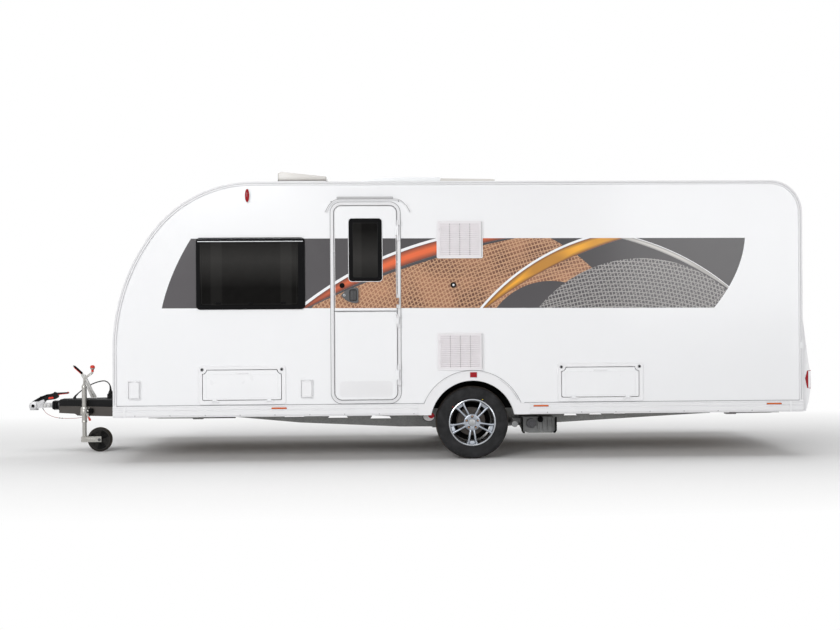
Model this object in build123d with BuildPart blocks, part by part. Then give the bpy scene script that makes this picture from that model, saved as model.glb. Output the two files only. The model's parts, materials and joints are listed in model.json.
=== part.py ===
"""Single-axle touring caravan: bonded body, galvanised chassis, and every piece that opens, turns or winds.

Millimetres. X runs from the coupling (-X) to the rear, -Y is the door side, +Z is up.
The origin is on the ground under the middle of the whole vehicle.
"""

import os
from math import cos, radians, sin, tan

from build123d import *

# ---------------------------------------------------------------- driving dimensions
# Body
BODY_FRONT = -2616.0  # outer face of the front panel
BODY_REAR = 3592.0  # outer face of the rear panel
SILL_Z = 402.0  # lower edge of walls and skirts
ROOF_Z = 2500.0
WALL_OUT = 1115.0  # outer face of a side wall, from the centre line
WALL_T = 32.0  # bonded wall thickness
PANEL_T = 34.0  # front, roof and rear panel thickness
FLOOR_Z = 440.0  # underside of the floor
FLOOR_T = 45.0
NOSE_BEND_Z = 1000.0  # where the front starts to lean back
NOSE_R1 = 1750.0  # lower nose radius
NOSE_TURN = 37.0  # degrees turned by the lower nose radius
REAR_CORNER_R = 290.0
TRIM_OUT = 25.0  # how far skirts, spats and rails stand off the wall

# Road wheels
AXLE_X = 588.0
TYRE_R = 327.0
TYRE_W = 198.0
RIM_R = 207.0  # rim flange radius
TRACK_HALF = 1000.0  # wheel centre plane from the centre line
BOX_R = 400.0  # wheel box radius
BOX_INSET = 233.0  # wheel box depth inside the wall's inner face
BOX_WALL = 6.0
SEAT = 0.3  # gap between curved faces of different bodies
SPAT_OUT_R = 470.0
SPAT_IN_R = 380.0
SPAT_X0, SPAT_X1 = 102.0, 1104.0  # where the spat meets the skirts

# Door (X0 is the latch edge, X1 the hinge edge)
DOOR_X0, DOOR_X1 = -650.0, -80.0
DOOR_Z0, DOOR_Z1 = 539.0, 2287.0
DOOR_SPLIT_Z = 1337.0
DOOR_R = 70.0
FRAME_W = 27.0  # width of the door frame's face
FRAME_PROUD = 8.0
DOOR_GAP = 6.0  # running gap round a leaf
HINGE_OUT = 30.0  # door hinge axis off the wall's face
HINGE_X = -77.0
PIN_R = 4.0
KNUCKLE_R = 8.0
PIN_CLEAR = 0.3

# Locker doors, both of one size
LOCKER_W, LOCKER_H = 780.0, 348.0
LOCKER_RIM = 36.0
LOCKER_Z = 686.0
LOCKER_R = 18.0
LOCKER_GAP = 6.0
LOCKER_FRONT_X, LOCKER_REAR_X = -1473.0, 1744.0

# Service flaps
FLAP_W, FLAP_H = 110.0, 162.0
FLAP_Z = 643.0
FLAP_FRONT_X, FLAP_MID_X = -2428.0, -896.0

# Fridge vents
VENT_W, VENT_H = 414.0, 340.0
VENT_X = 481.0
VENT_ZS = (1977.0, 971.0)
VENT_T = 14.0
VENT_COLUMNS, VENT_ROWS = 4, 17

# Windows: name, X0, X1, Z0, Z1 on the side walls
WINDOW_R = 30.0
WINDOW_LAP = 24.0  # how far the window's rim laps the wall
WINDOW_PROUD = 14.0
WINDOW_DEPTH = 16.0  # how deep a window's plug goes into its opening
WINDOWS_LEFT = ((-1870.0, -911.0, 1364.0, 1996.0),)
WINDOWS_RIGHT = ((-1870.0, -911.0, 1364.0, 1996.0), (150.0, 1050.0, 1364.0, 1996.0), (2300.0, 3000.0, 1480.0, 1996.0))
REAR_WINDOW = (-420.0, 420.0, 1480.0, 1996.0)  # Y0, Y1, Z0, Z1

# Chassis
MEMBER_Y = 560.0  # side member web from the centre line
MEMBER_T = 5.0
MEMBER_FLANGE = 42.0
AXLE_TUBE_R = 55.0
COUPLING_Z = 438.0

# Jockey wheel
JOCKEY_X, JOCKEY_Y = -3104.0, -178.0
JOCKEY_TUBE_R = 24.0
JOCKEY_R = 117.0  # jockey wheel radius
JOCKEY_TRAIL = 150.0
JOCKEY_W = 62.0

os.makedirs("parts", exist_ok=True)


def finish(piece, label):
    """Labels a finished piece and writes it as parts/LABEL.step."""
    piece.part.label = label
    export_step(piece.part, f"parts/{label}.step")


# ---------------------------------------------------------------- shared outlines
WALL_IN = WALL_OUT - WALL_T
NOSE_R2 = (ROOF_Z - NOSE_BEND_Z - NOSE_R1 * sin(radians(NOSE_TURN))) / (1 - sin(radians(NOSE_TURN)))
NOSE_TOP_X = BODY_FRONT + NOSE_R1 * (1 - cos(radians(NOSE_TURN))) + NOSE_R2 * cos(radians(NOSE_TURN))


def side_outline(y, inset=0.0):
    """The body's side outline as a face at the given Y, looking along +Y, drawn in by inset."""
    with BuildSketch(Plane.XZ.offset(-y)) as side:
        with BuildLine():
            front = Line((BODY_FRONT, SILL_Z), (BODY_FRONT, NOSE_BEND_Z))
            low = JernArc(start=front @ 1, tangent=front % 1, radius=NOSE_R1, arc_size=-NOSE_TURN)
            high = JernArc(start=low @ 1, tangent=low % 1, radius=NOSE_R2, arc_size=NOSE_TURN - 90)
            roof = Line(high @ 1, (BODY_REAR - REAR_CORNER_R, ROOF_Z))
            corner = JernArc(start=roof @ 1, tangent=roof % 1, radius=REAR_CORNER_R, arc_size=-90)
            Polyline(corner @ 1, (BODY_REAR, SILL_Z), (BODY_FRONT, SILL_Z))
        make_face()
        if inset:
            offset(amount=-inset, kind=Kind.INTERSECTION)
    return side.sketch


def rounded(y, x0, x1, z0, z1, r):
    """A rounded rectangle in X and Z as a face at the given Y."""
    with BuildSketch(Plane.XZ.offset(-y)) as panel:
        with Locations(((x0 + x1) / 2, (z0 + z1) / 2)):
            RectangleRounded(x1 - x0, z1 - z0, r)
    return panel.sketch


def slab(x0, x1, y0, y1, z0, z1, mode=Mode.ADD):
    """A box given by its corners, made inside the open part."""
    with Locations(((x0 + x1) / 2, (y0 + y1) / 2, (z0 + z1) / 2)):
        Box(x1 - x0, y1 - y0, z1 - z0, mode=mode)


# ---------------------------------------------------------------- hinges
def hinge_halves(plane, length, stand, pin_r=PIN_R, knuckle_r=KNUCKLE_R, reach=22.0):
    """Butt hinge as (fixed, moving) parts.

    The plane's origin is the middle of the pin and its z axis the pin. Local +x is the fixed side and
    local +y is inwards, where both leaves stand on faces that lie the given distance from the pin.
    """
    middle = length / 2
    with BuildPart() as fixed:
        with BuildSketch(plane.offset(-length / 2)):
            Circle(pin_r)
        extrude(amount=length)
        for z in (-length / 2, middle / 2 + 1):
            with BuildSketch(plane.offset(z)):
                Circle(knuckle_r)
                with Locations((reach / 2 + 1, stand / 2)):
                    Rectangle(reach - 2, stand)
            extrude(amount=length / 2 - middle / 2 - 1)
    with BuildPart() as moving:
        with BuildSketch(plane.offset(-middle / 2)):
            Circle(knuckle_r)
            with Locations((-reach / 2 - 1, stand / 2)):
                Rectangle(reach - 2, stand)
            Circle(pin_r + PIN_CLEAR, mode=Mode.SUBTRACT)
        extrude(amount=middle)
    return fixed.part, moving.part


# ---------------------------------------------------------------- side walls
LOCKER_OPENING = LOCKER_RIM - 8.0  # wall opening lies this far inside the locker frame's edge
LOCKERS_LEFT = (LOCKER_FRONT_X, LOCKER_REAR_X)
LOCKERS_RIGHT = (LOCKER_FRONT_X,)


def wall(side, windows, lockers, vents, flaps, door):
    """One side wall, side -1 for the door side, with the openings for everything that it carries."""
    outer = side * WALL_OUT if side < 0 else WALL_IN
    with BuildPart() as panel:
        extrude(side_outline(outer + WALL_T), amount=WALL_T)
        with BuildSketch(Plane.XZ.offset(-outer - WALL_T)) as holes:
            with Locations((AXLE_X, TYRE_R)):
                Circle(BOX_R)
            for x0, x1, z0, z1 in windows:
                with Locations(((x0 + x1) / 2, (z0 + z1) / 2)):
                    RectangleRounded(x1 - x0 - 2 * WINDOW_LAP, z1 - z0 - 2 * WINDOW_LAP, WINDOW_R)
            for x in lockers:
                with Locations((x, LOCKER_Z)):
                    RectangleRounded(LOCKER_W - 2 * LOCKER_OPENING, LOCKER_H - 2 * LOCKER_OPENING, LOCKER_R)
            for z in vents:
                with Locations((VENT_X, z)):
                    Rectangle(VENT_W - 50, VENT_H - 50)
            for x in flaps:
                with Locations((x, FLAP_Z)):
                    Rectangle(FLAP_W - 34, FLAP_H - 34)
            if door:
                with Locations(((DOOR_X0 + DOOR_X1) / 2, (DOOR_Z0 + DOOR_Z1) / 2)):
                    RectangleRounded(DOOR_X1 - DOOR_X0, DOOR_Z1 - DOOR_Z0, DOOR_R)
        extrude(amount=WALL_T, mode=Mode.SUBTRACT)
    return panel


wall_left = wall(-1, WINDOWS_LEFT, LOCKERS_LEFT, VENT_ZS, (FLAP_FRONT_X, FLAP_MID_X), True)
finish(wall_left, "wall_left")
wall_right = wall(1, WINDOWS_RIGHT, LOCKERS_RIGHT, (), (), False)
finish(wall_right, "wall_right")

# ---------------------------------------------------------------- front, roof and rear panels
GAS_Y = 640.0  # half width of the gas locker lid
GAS_Z0, GAS_Z1 = 600.0, 985.0
GAS_GAP = 6.0
FRONT_WINDOW = (-760.0, 760.0, 1200.0, 1720.0)  # Y0, Y1, Z0, Z1
MINI_X, MINI_Y, MINI_SIDE = -947.0, -600.0, 446.0
MIDI_X, MIDI_Y, MIDI_LX, MIDI_LY = 601.0, 0.0, 549.0, 760.0
LIGHT_RIM = 28.0  # width of a rooflight frame
DRAW_NOTCH = 345.0  # half width of the notch that the drawbar passes under


def panel_ring():
    """The band between the walls that front, roof and rear panels are cut from."""
    with BuildPart() as ring:
        extrude(side_outline(WALL_IN), amount=2 * WALL_IN)
        extrude(side_outline(WALL_IN, PANEL_T), amount=2 * WALL_IN, mode=Mode.SUBTRACT)
        slab(BODY_FRONT + PANEL_T, BODY_REAR - PANEL_T, -WALL_IN, WALL_IN, SILL_Z, FLOOR_Z + FLOOR_T, Mode.SUBTRACT)
    return ring.part


RING = panel_ring()
ROOF_REAR_X = BODY_REAR - REAR_CORNER_R

GAS_PIN_OUT = 16.0
gas_hinges = [hinge_halves(Plane(origin=(BODY_FRONT - GAS_PIN_OUT, y, GAS_Z1 + 2), x_dir=(0, 0, 1), z_dir=(0, 1, 0)),
                           90, GAS_PIN_OUT, pin_r=3, knuckle_r=7, reach=20) for y in (-400, 400)]
with BuildPart() as front_panel:
    add(RING)
    split(bisect_by=Plane.YZ.offset(NOSE_TOP_X), keep=Keep.BOTTOM)
    slab(BODY_FRONT - 5, BODY_FRONT + 60, -GAS_Y, GAS_Y, GAS_Z0, GAS_Z1, Mode.SUBTRACT)
    slab(BODY_FRONT - 5, -2200, FRONT_WINDOW[0], FRONT_WINDOW[1], FRONT_WINDOW[2], FRONT_WINDOW[3], Mode.SUBTRACT)
    slab(BODY_FRONT - 5, BODY_FRONT + 60, -DRAW_NOTCH, DRAW_NOTCH, SILL_Z, FLOOR_Z, Mode.SUBTRACT)
    for fixed, moving in gas_hinges:
        add(fixed)
finish(front_panel, "front_panel")

with BuildPart() as gas_lid:
    slab(BODY_FRONT, BODY_FRONT + PANEL_T, -GAS_Y + GAS_GAP, GAS_Y - GAS_GAP, GAS_Z0 + GAS_GAP, GAS_Z1 - GAS_GAP)
    for fixed, moving in gas_hinges:
        add(moving)
finish(gas_lid, "gas_lid")


LINER_T = 8.0
LINER_X = -2260.0
LINER_Y, LINER_TOP = GAS_Y + 30, 1010.0
BOTTLE_R, BOTTLE_H, BOTTLE_X, BOTTLE_Y = 150.0, 400.0, -2425.0, 240.0
with BuildPart() as gas_locker:
    inner_face = BODY_FRONT + PANEL_T + SEAT
    slab(inner_face, LINER_X, -LINER_Y, LINER_Y, FLOOR_Z + FLOOR_T, LINER_TOP)
    slab(inner_face - 1, LINER_X - LINER_T, LINER_T - LINER_Y, LINER_Y - LINER_T, FLOOR_Z + FLOOR_T - 1,
         LINER_TOP - LINER_T, Mode.SUBTRACT)
finish(gas_locker, "gas_locker")

with BuildPart() as gas_bottles:
    base = FLOOR_Z + FLOOR_T
    for y in (-BOTTLE_Y, BOTTLE_Y):
        with BuildSketch(Plane.XZ.offset(-y)):
            with BuildLine():
                Polyline((0, base), (BOTTLE_R - 30, base), (BOTTLE_R - 30, base + 20), (BOTTLE_R, base + 45),
                         (BOTTLE_R, base + BOTTLE_H - 60))
                ThreePointArc((BOTTLE_R, base + BOTTLE_H - 60), (BOTTLE_R - 22, base + BOTTLE_H - 20),
                              (BOTTLE_R - 75, base + BOTTLE_H))
                Polyline((BOTTLE_R - 75, base + BOTTLE_H), (20, base + BOTTLE_H), (20, base + BOTTLE_H + 55),
                         (0, base + BOTTLE_H + 55), (0, base))
            make_face()
        revolve(axis=Axis((0, y, 0), (0, 0, 1)))
    gas_bottles.part = gas_bottles.part.moved(Location((BOTTLE_X, 0, 0)))
finish(gas_bottles, "gas_bottles")

with BuildPart() as roof:
    add(RING)
    split(bisect_by=Plane.YZ.offset(NOSE_TOP_X), keep=Keep.TOP)
    split(bisect_by=Plane.YZ.offset(ROOF_REAR_X), keep=Keep.BOTTOM)
    slab(-9000, 9000, -1200, 1200, 0, ROOF_Z - PANEL_T - 1, Mode.SUBTRACT)
    for cx, cy, lx, ly in ((MINI_X, MINI_Y, MINI_SIDE, MINI_SIDE), (MIDI_X, MIDI_Y, MIDI_LX, MIDI_LY)):
        slab(cx - lx / 2 + LIGHT_RIM, cx + lx / 2 - LIGHT_RIM, cy - ly / 2 + LIGHT_RIM, cy + ly / 2 - LIGHT_RIM,
             ROOF_Z - 50, ROOF_Z + 5, Mode.SUBTRACT)
finish(roof, "roof")

with BuildPart() as rear_panel:
    add(RING)
    split(bisect_by=Plane.YZ.offset(ROOF_REAR_X), keep=Keep.TOP)
    slab(BODY_REAR - 60, BODY_REAR + 5, REAR_WINDOW[0] + WINDOW_LAP, REAR_WINDOW[1] - WINDOW_LAP,
         REAR_WINDOW[2] + WINDOW_LAP, REAR_WINDOW[3] - WINDOW_LAP, Mode.SUBTRACT)
finish(rear_panel, "rear_panel")

with BuildPart() as floor:
    slab(BODY_FRONT + PANEL_T, BODY_REAR - PANEL_T, -WALL_IN, WALL_IN, FLOOR_Z, FLOOR_Z + FLOOR_T)
    for y in (WALL_IN, BOX_INSET - WALL_IN):
        with BuildSketch(Plane.XZ.offset(-y)) as notch:
            with Locations((AXLE_X, TYRE_R)):
                Circle(BOX_R + BOX_WALL + SEAT)
        extrude(notch.sketch, amount=BOX_INSET, mode=Mode.SUBTRACT)
finish(floor, "floor")

# ---------------------------------------------------------------- wheel boxes, spats, skirts, rails
SKIRT_TOP = 502.0
BOX_IN = WALL_IN - BOX_INSET


def wheel_box(side):
    """Half-round housing over a wheel, open below and at the wall, seated in the floor's notch."""
    y0, y1 = sorted((side * WALL_IN, side * BOX_IN))
    plate0, plate1 = sorted((side * BOX_IN, side * (BOX_IN + BOX_WALL)))
    with BuildPart() as box:
        with BuildSketch(Plane.XZ.offset(-y1)):
            with Locations((AXLE_X, TYRE_R)):
                Circle(BOX_R + BOX_WALL)
                Circle(BOX_R, mode=Mode.SUBTRACT)
        extrude(amount=y1 - y0)
        with BuildSketch(Plane.XZ.offset(-plate1)):
            with Locations((AXLE_X, TYRE_R)):
                Circle(BOX_R + BOX_WALL)
        extrude(amount=plate1 - plate0)
        slab(AXLE_X - 600, AXLE_X + 600, -WALL_OUT, WALL_OUT, TYRE_R - 600, FLOOR_Z, Mode.SUBTRACT)
    return box


with BuildPart() as wheel_boxes:
    for side in (-1, 1):
        add(wheel_box(side).part)
finish(wheel_boxes, "wheel_boxes")


def spat(side):
    """Moulded wheel arch trim: an arch over the wheel that runs down into the skirt line."""
    y = side * (WALL_OUT + TRIM_OUT) if side > 0 else -WALL_OUT
    with BuildPart() as arch:
        with BuildSketch(Plane.XZ.offset(-y)):
            with Locations((AXLE_X, TYRE_R)):
                Circle(SPAT_OUT_R)
            with Locations(((SPAT_X0 + SPAT_X1) / 2, (SILL_Z + SKIRT_TOP) / 2)):
                Rectangle(SPAT_X1 - SPAT_X0, SKIRT_TOP - SILL_Z)
            with Locations((AXLE_X, SILL_Z - 300)):
                Rectangle(1400, 600, mode=Mode.SUBTRACT)
            with Locations((AXLE_X, TYRE_R)):
                Circle(SPAT_IN_R, mode=Mode.SUBTRACT)
        extrude(amount=TRIM_OUT)
        face = arch.faces().filter_by(Axis.Y).sort_by(Axis.Y)[0 if side < 0 else -1]
        fillet(face.edges().filter_by(GeomType.CIRCLE), radius=9)
    return arch


def skirt(side):
    """Ribbed skirt extrusion in two lengths, one each side of the spat, with end caps."""
    ribs = ((0, SILL_Z), (14, SILL_Z), (TRIM_OUT, 422), (TRIM_OUT, 452), (18, 457), (18, 463), (TRIM_OUT, 468),
            (TRIM_OUT, 484), (20, 489), (TRIM_OUT, 494), (21, SKIRT_TOP), (0, SKIRT_TOP))
    with BuildPart() as run:
        for x0, x1 in ((BODY_FRONT, SPAT_X0 - 0.5), (SPAT_X1 + 0.5, BODY_REAR)):
            with BuildSketch(Plane.YZ.offset(x0)):
                with BuildLine():
                    Polyline([(side * (WALL_OUT + out), z) for out, z in ribs], close=True)
                make_face()
            extrude(amount=x1 - x0)
    return run


def edge_rail(side):
    """Awning rail: the extrusion that follows the wall's edge up the front, over and down the rear."""
    y = side * (WALL_OUT + 16) if side > 0 else -WALL_OUT
    with BuildPart() as rail:
        extrude(side_outline(y), amount=16)
        extrude(side_outline(y, 30), amount=16, mode=Mode.SUBTRACT)
        slab(-9000, 9000, -1300, 1300, 0, SKIRT_TOP, Mode.SUBTRACT)
        slab(BODY_FRONT + 31, BODY_REAR - 31, -1300, 1300, 0, 900, Mode.SUBTRACT)
    return rail


with BuildPart() as wheel_spats:
    for side in (-1, 1):
        add(spat(side).part)
finish(wheel_spats, "wheel_spats")

with BuildPart() as skirts:
    for side in (-1, 1):
        add(skirt(side).part)
finish(skirts, "skirts")

with BuildPart() as edge_rails:
    for side in (-1, 1):
        add(edge_rail(side).part)
finish(edge_rails, "edge_rails")

# ---------------------------------------------------------------- windows
def window(piece_y, x0, x1, z0, z1, side):
    """A double-glazed acrylic window: a rim that laps the wall and a plug in the opening."""
    with BuildPart() as pane:
        front = piece_y + side * WINDOW_PROUD if side > 0 else piece_y
        extrude(rounded(front, x0, x1, z0, z1, WINDOW_R + WINDOW_LAP - 1), amount=WINDOW_PROUD)
        front = piece_y if side > 0 else piece_y + WINDOW_DEPTH
        lap = WINDOW_LAP + 2
        extrude(rounded(front, x0 + lap, x1 - lap, z0 + lap, z1 - lap, WINDOW_R - 3), amount=WINDOW_DEPTH)
    return pane.part


def front_window():
    """Wide front window: a curved pane that follows the nose between two levels."""
    reach = FRONT_WINDOW[1]
    with BuildPart() as pane:
        extrude(side_outline(reach, -WINDOW_PROUD), amount=2 * reach)
        extrude(side_outline(reach, WINDOW_DEPTH), amount=2 * reach, mode=Mode.SUBTRACT)
        slab(-9000, 9000, -2000, 2000, 0, FRONT_WINDOW[2], Mode.SUBTRACT)
        slab(-9000, 9000, -2000, 2000, FRONT_WINDOW[3], 9000, Mode.SUBTRACT)
        slab(0, 9000, -2000, 2000, 0, 9000, Mode.SUBTRACT)
    return pane.part


with BuildPart() as windows:
    for side, table in ((-1, WINDOWS_LEFT), (1, WINDOWS_RIGHT)):
        for x0, x1, z0, z1 in table:
            add(window(side * WALL_OUT, x0, x1, z0, z1, side))
    with BuildSketch(Plane.YZ.offset(BODY_REAR)):
        with Locations(((REAR_WINDOW[0] + REAR_WINDOW[1]) / 2, (REAR_WINDOW[2] + REAR_WINDOW[3]) / 2)):
            RectangleRounded(REAR_WINDOW[1] - REAR_WINDOW[0], REAR_WINDOW[3] - REAR_WINDOW[2], WINDOW_R)
    extrude(amount=WINDOW_PROUD)
    lap = WINDOW_LAP + 2
    slab(BODY_REAR - WINDOW_DEPTH, BODY_REAR, REAR_WINDOW[0] + lap, REAR_WINDOW[1] - lap,
         REAR_WINDOW[2] + lap, REAR_WINDOW[3] - lap)
    add(front_window())
finish(windows, "windows")


# ---------------------------------------------------------------- entrance door
DOOR_STAND = HINGE_OUT - FRAME_PROUD
DOOR_HINGES = (  # leaf, hinge centre Z, length
    ("upper", 2060.0, 180.0),
    ("upper", 1425.0, 120.0),
    ("lower", 1250.0, 120.0),
    ("lower", 765.0, 180.0),
)


def door_hinge(z, length):
    return hinge_halves(Plane(origin=(HINGE_X, -WALL_OUT - HINGE_OUT, z), x_dir=(1, 0, 0), z_dir=(0, 0, 1)),
                        length, DOOR_STAND)


door_hinge_halves = [(leaf, door_hinge(z, length)) for leaf, z, length in DOOR_HINGES]

with BuildPart() as door_frame:
    extrude(rounded(-WALL_OUT, DOOR_X0 - FRAME_W, DOOR_X1 + FRAME_W, DOOR_Z0 - FRAME_W, DOOR_Z1 + FRAME_W,
                    DOOR_R + FRAME_W), amount=FRAME_PROUD)
    extrude(rounded(-WALL_OUT, DOOR_X0, DOOR_X1, DOOR_Z0, DOOR_Z1, DOOR_R), amount=FRAME_PROUD, mode=Mode.SUBTRACT)
    for leaf, halves in door_hinge_halves:
        add(halves[0])
finish(door_frame, "door_frame")

DOOR_GLASS = (-514.0, -218.0, 1606.0, 2167.0)  # X0, X1, Z0, Z1
KNOB_X, KNOB_Z, KNOB_R, KNOB_OUT = -576.0, 1568.0, 14.0, 22.0


def door_leaf(leaf, z0, z1):
    """One leaf of the stable door: the whole door's rounded outline, cut at the split."""
    gap = DOOR_GAP
    with BuildPart() as panel:
        extrude(rounded(-WALL_IN, DOOR_X0 + gap, DOOR_X1 - gap, DOOR_Z0 + gap, DOOR_Z1 - gap, DOOR_R - gap),
                amount=WALL_T + FRAME_PROUD)
        slab(DOOR_X0 - 50, DOOR_X1 + 50, -1300, -1000, z0 - 3000, z0, Mode.SUBTRACT)
        slab(DOOR_X0 - 50, DOOR_X1 + 50, -1300, -1000, z1, z1 + 3000, Mode.SUBTRACT)
        for owner, halves in door_hinge_halves:
            if owner == leaf:
                add(halves[1])
        if leaf == "upper":
            extrude(rounded(-WALL_IN + 5, DOOR_GLASS[0] + WINDOW_LAP, DOOR_GLASS[1] - WINDOW_LAP,
                            DOOR_GLASS[2] + WINDOW_LAP, DOOR_GLASS[3] - WINDOW_LAP, 12),
                    amount=WALL_T + 40, mode=Mode.SUBTRACT)
            with BuildSketch(Plane.XZ.offset(WALL_OUT + FRAME_PROUD)):
                with Locations((KNOB_X, KNOB_Z)):
                    Circle(KNOB_R)
            extrude(amount=KNOB_OUT)
    return panel


door_upper = door_leaf("upper", DOOR_SPLIT_Z + DOOR_GAP / 2, DOOR_Z1)
finish(door_upper, "door_upper")
door_lower = door_leaf("lower", DOOR_Z0, DOOR_SPLIT_Z - DOOR_GAP / 2)
finish(door_lower, "door_lower")

with BuildPart() as door_window:
    face_y = -WALL_OUT - FRAME_PROUD
    x0, x1, z0, z1 = DOOR_GLASS
    extrude(rounded(face_y, x0, x1, z0, z1, 30), amount=10)
    lap = WINDOW_LAP + 2
    extrude(rounded(face_y + 30, x0 + lap, x1 - lap, z0 + lap, z1 - lap, 10), amount=30)
finish(door_window, "door_window")

HANDLE = (-585.0, -430.0, 1411.0, 1549.0)  # X0, X1, Z0, Z1
with BuildPart() as door_handle:
    x0, x1, z0, z1 = HANDLE
    mid = (z0 + z1) / 2
    with BuildSketch(Plane.XZ.offset(WALL_OUT + FRAME_PROUD)):
        with BuildLine():
            ThreePointArc((x1 - 12, z1), (x0 + 52, z1 - 22), (x0, mid))
            ThreePointArc((x0, mid), (x0 + 52, z0 + 22), (x1 - 12, z0))
            Polyline((x1 - 12, z0), (x1, z0 + 12), (x1, z1 - 12), (x1 - 12, z1))
        make_face()
    extrude(amount=24)
    with BuildSketch(Plane.XZ.offset(WALL_OUT + FRAME_PROUD + 10)):
        with Locations((x1 - 47, mid)):
            RectangleRounded(58, 96, 12)
    extrude(amount=20, mode=Mode.SUBTRACT)
    with BuildSketch(Plane.XZ.offset(WALL_OUT + FRAME_PROUD + 9)):
        with Locations((x1 - 45, mid)):
            RectangleRounded(26, 84, 8)
    extrude(amount=11)
finish(door_handle, "door_handle")

with BuildPart() as door_fittings:
    with BuildSketch(Plane.XZ.offset(WALL_OUT)):
        with Locations((2 * HINGE_X - KNOB_X, KNOB_Z)):
            Circle(KNOB_R + 4)
    extrude(amount=KNOB_OUT)
    with BuildSketch(Plane.XZ.offset(WALL_OUT)):
        with BuildLine():
            Line((-723, 2226), (-690, 2285))
            ThreePointArc((-690, 2285), (-655, 2322), (-600, 2340))
            Line((-600, 2340), (-95, 2340))
            ThreePointArc((-95, 2340), (-30, 2320), (3, 2285))
            Line((3, 2285), (36, 2226))
        trace(line_width=20)
    extrude(amount=18)

# ---------------------------------------------------------------- lockers
LOCKER_PROUD = 10.0
LOCK_LOBE_R = 38.0  # round corner of the frame that carries a lock
LOCKER_PIN_OUT = 12.0  # hinge axis off the locker frame's face
LOCKER_HINGE_Z = LOCKER_Z - LOCKER_H / 2 + LOCKER_RIM - 2


def locker(x, side):
    """(frame, door) of one side locker, hinged along its lower edge."""
    face = WALL_OUT + LOCKER_PROUD
    front = side * face if side > 0 else -WALL_OUT
    inner_w, inner_h = LOCKER_W - 2 * LOCKER_RIM, LOCKER_H - 2 * LOCKER_RIM
    lobes = [(x + dx, LOCKER_Z + inner_h / 2) for dx in (-inner_w / 2, inner_w / 2)]
    pins = []
    for dx in (-LOCKER_W / 3.2, LOCKER_W / 3.2):
        pins.append(hinge_halves(
            Plane(origin=(x + dx, side * (face + LOCKER_PIN_OUT), LOCKER_HINGE_Z), x_dir=(0, 0, -1), z_dir=(-side, 0, 0)),
            70, LOCKER_PIN_OUT, pin_r=2.5, knuckle_r=5.5, reach=16))

    def frame_outline(w, h, r, y):
        return rounded(y, x - w / 2, x + w / 2, LOCKER_Z - h / 2, LOCKER_Z + h / 2, r)

    with BuildPart() as frame:
        extrude(frame_outline(LOCKER_W, LOCKER_H, LOCKER_R + 12, front), amount=LOCKER_PROUD)
        liner_w, liner_h = LOCKER_W - 2 * LOCKER_OPENING - 1, LOCKER_H - 2 * LOCKER_OPENING - 1
        back = WALL_OUT if side > 0 else -WALL_IN
        extrude(frame_outline(liner_w, liner_h, LOCKER_R, back), amount=WALL_T)
        with BuildSketch(Plane.XZ.offset(-max(front, back) - 30)) as hole:
            add(frame_outline(inner_w, inner_h, LOCKER_R - 4, max(front, back) + 30))
            with Locations(*lobes):
                Circle(LOCK_LOBE_R, mode=Mode.SUBTRACT)
        extrude(hole.sketch, amount=120, mode=Mode.SUBTRACT)
        for fixed, moving in pins:
            add(fixed)
    with BuildPart() as door:
        gap = LOCKER_GAP
        start = face if side > 0 else -WALL_IN
        with BuildSketch(Plane.XZ.offset(-start)) as leaf:
            add(frame_outline(inner_w - 2 * gap, inner_h - 2 * gap, LOCKER_R - 6, start))
            with Locations(*lobes):
                Circle(LOCK_LOBE_R + gap, mode=Mode.SUBTRACT)
        extrude(leaf.sketch, amount=WALL_T + LOCKER_PROUD)
        for fixed, moving in pins:
            add(moving)
    return frame, door


LOCKERS = (("front", LOCKER_FRONT_X, -1), ("rear", LOCKER_REAR_X, -1), ("right", LOCKER_FRONT_X, 1))  # name, X, side
locker_pieces = [(name, locker(x, side)) for name, x, side in LOCKERS]
with BuildPart() as locker_frames:
    for name, (frame, door) in locker_pieces:
        add(frame.part)
finish(locker_frames, "locker_frames")
for name, (frame, door) in locker_pieces:
    finish(door, f"locker_door_{name}")

# ---------------------------------------------------------------- service flaps
FLAP_PROUD = 16.0
FLAP_RIM = 6.0
FLAP_PIN_OUT = 5.0


def flap(x):
    """(base, cover) of a small service flap, its cover hinged along the top."""
    top = FLAP_Z + FLAP_H / 2
    pin_z = top - 3
    pin = hinge_halves(Plane(origin=(x, -WALL_OUT - FLAP_PROUD - FLAP_PIN_OUT, pin_z), x_dir=(0, 0, 1),
                             z_dir=(-1, 0, 0)), 50, FLAP_PIN_OUT, pin_r=1.5, knuckle_r=3.5, reach=9)
    z0 = FLAP_Z - FLAP_H / 2
    with BuildPart() as base:
        extrude(rounded(-WALL_OUT, x - FLAP_W / 2, x + FLAP_W / 2, z0, top + 9, 10), amount=FLAP_PROUD)
        extrude(rounded(-WALL_OUT, x - FLAP_W / 2 + FLAP_RIM, x + FLAP_W / 2 - FLAP_RIM, z0 + FLAP_RIM, top - 2, 6),
                amount=FLAP_PROUD, mode=Mode.SUBTRACT)
        add(pin[0])
    with BuildPart() as cover:
        inset = FLAP_RIM + 5
        extrude(rounded(-WALL_OUT, x - FLAP_W / 2 + inset, x + FLAP_W / 2 - inset, z0 + inset, top - 7, 5),
                amount=FLAP_PROUD)
        add(pin[1])
    return base, cover


flap_base_front, flap_front = flap(FLAP_FRONT_X)
flap_base_mid, flap_mid = flap(FLAP_MID_X)
with BuildPart() as wall_fittings:
    add(door_fittings.part)
    add(flap_base_front.part)
    add(flap_base_mid.part)
finish(wall_fittings, "wall_fittings")
finish(flap_front, "flap_front")
finish(flap_mid, "flap_mid")

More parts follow.
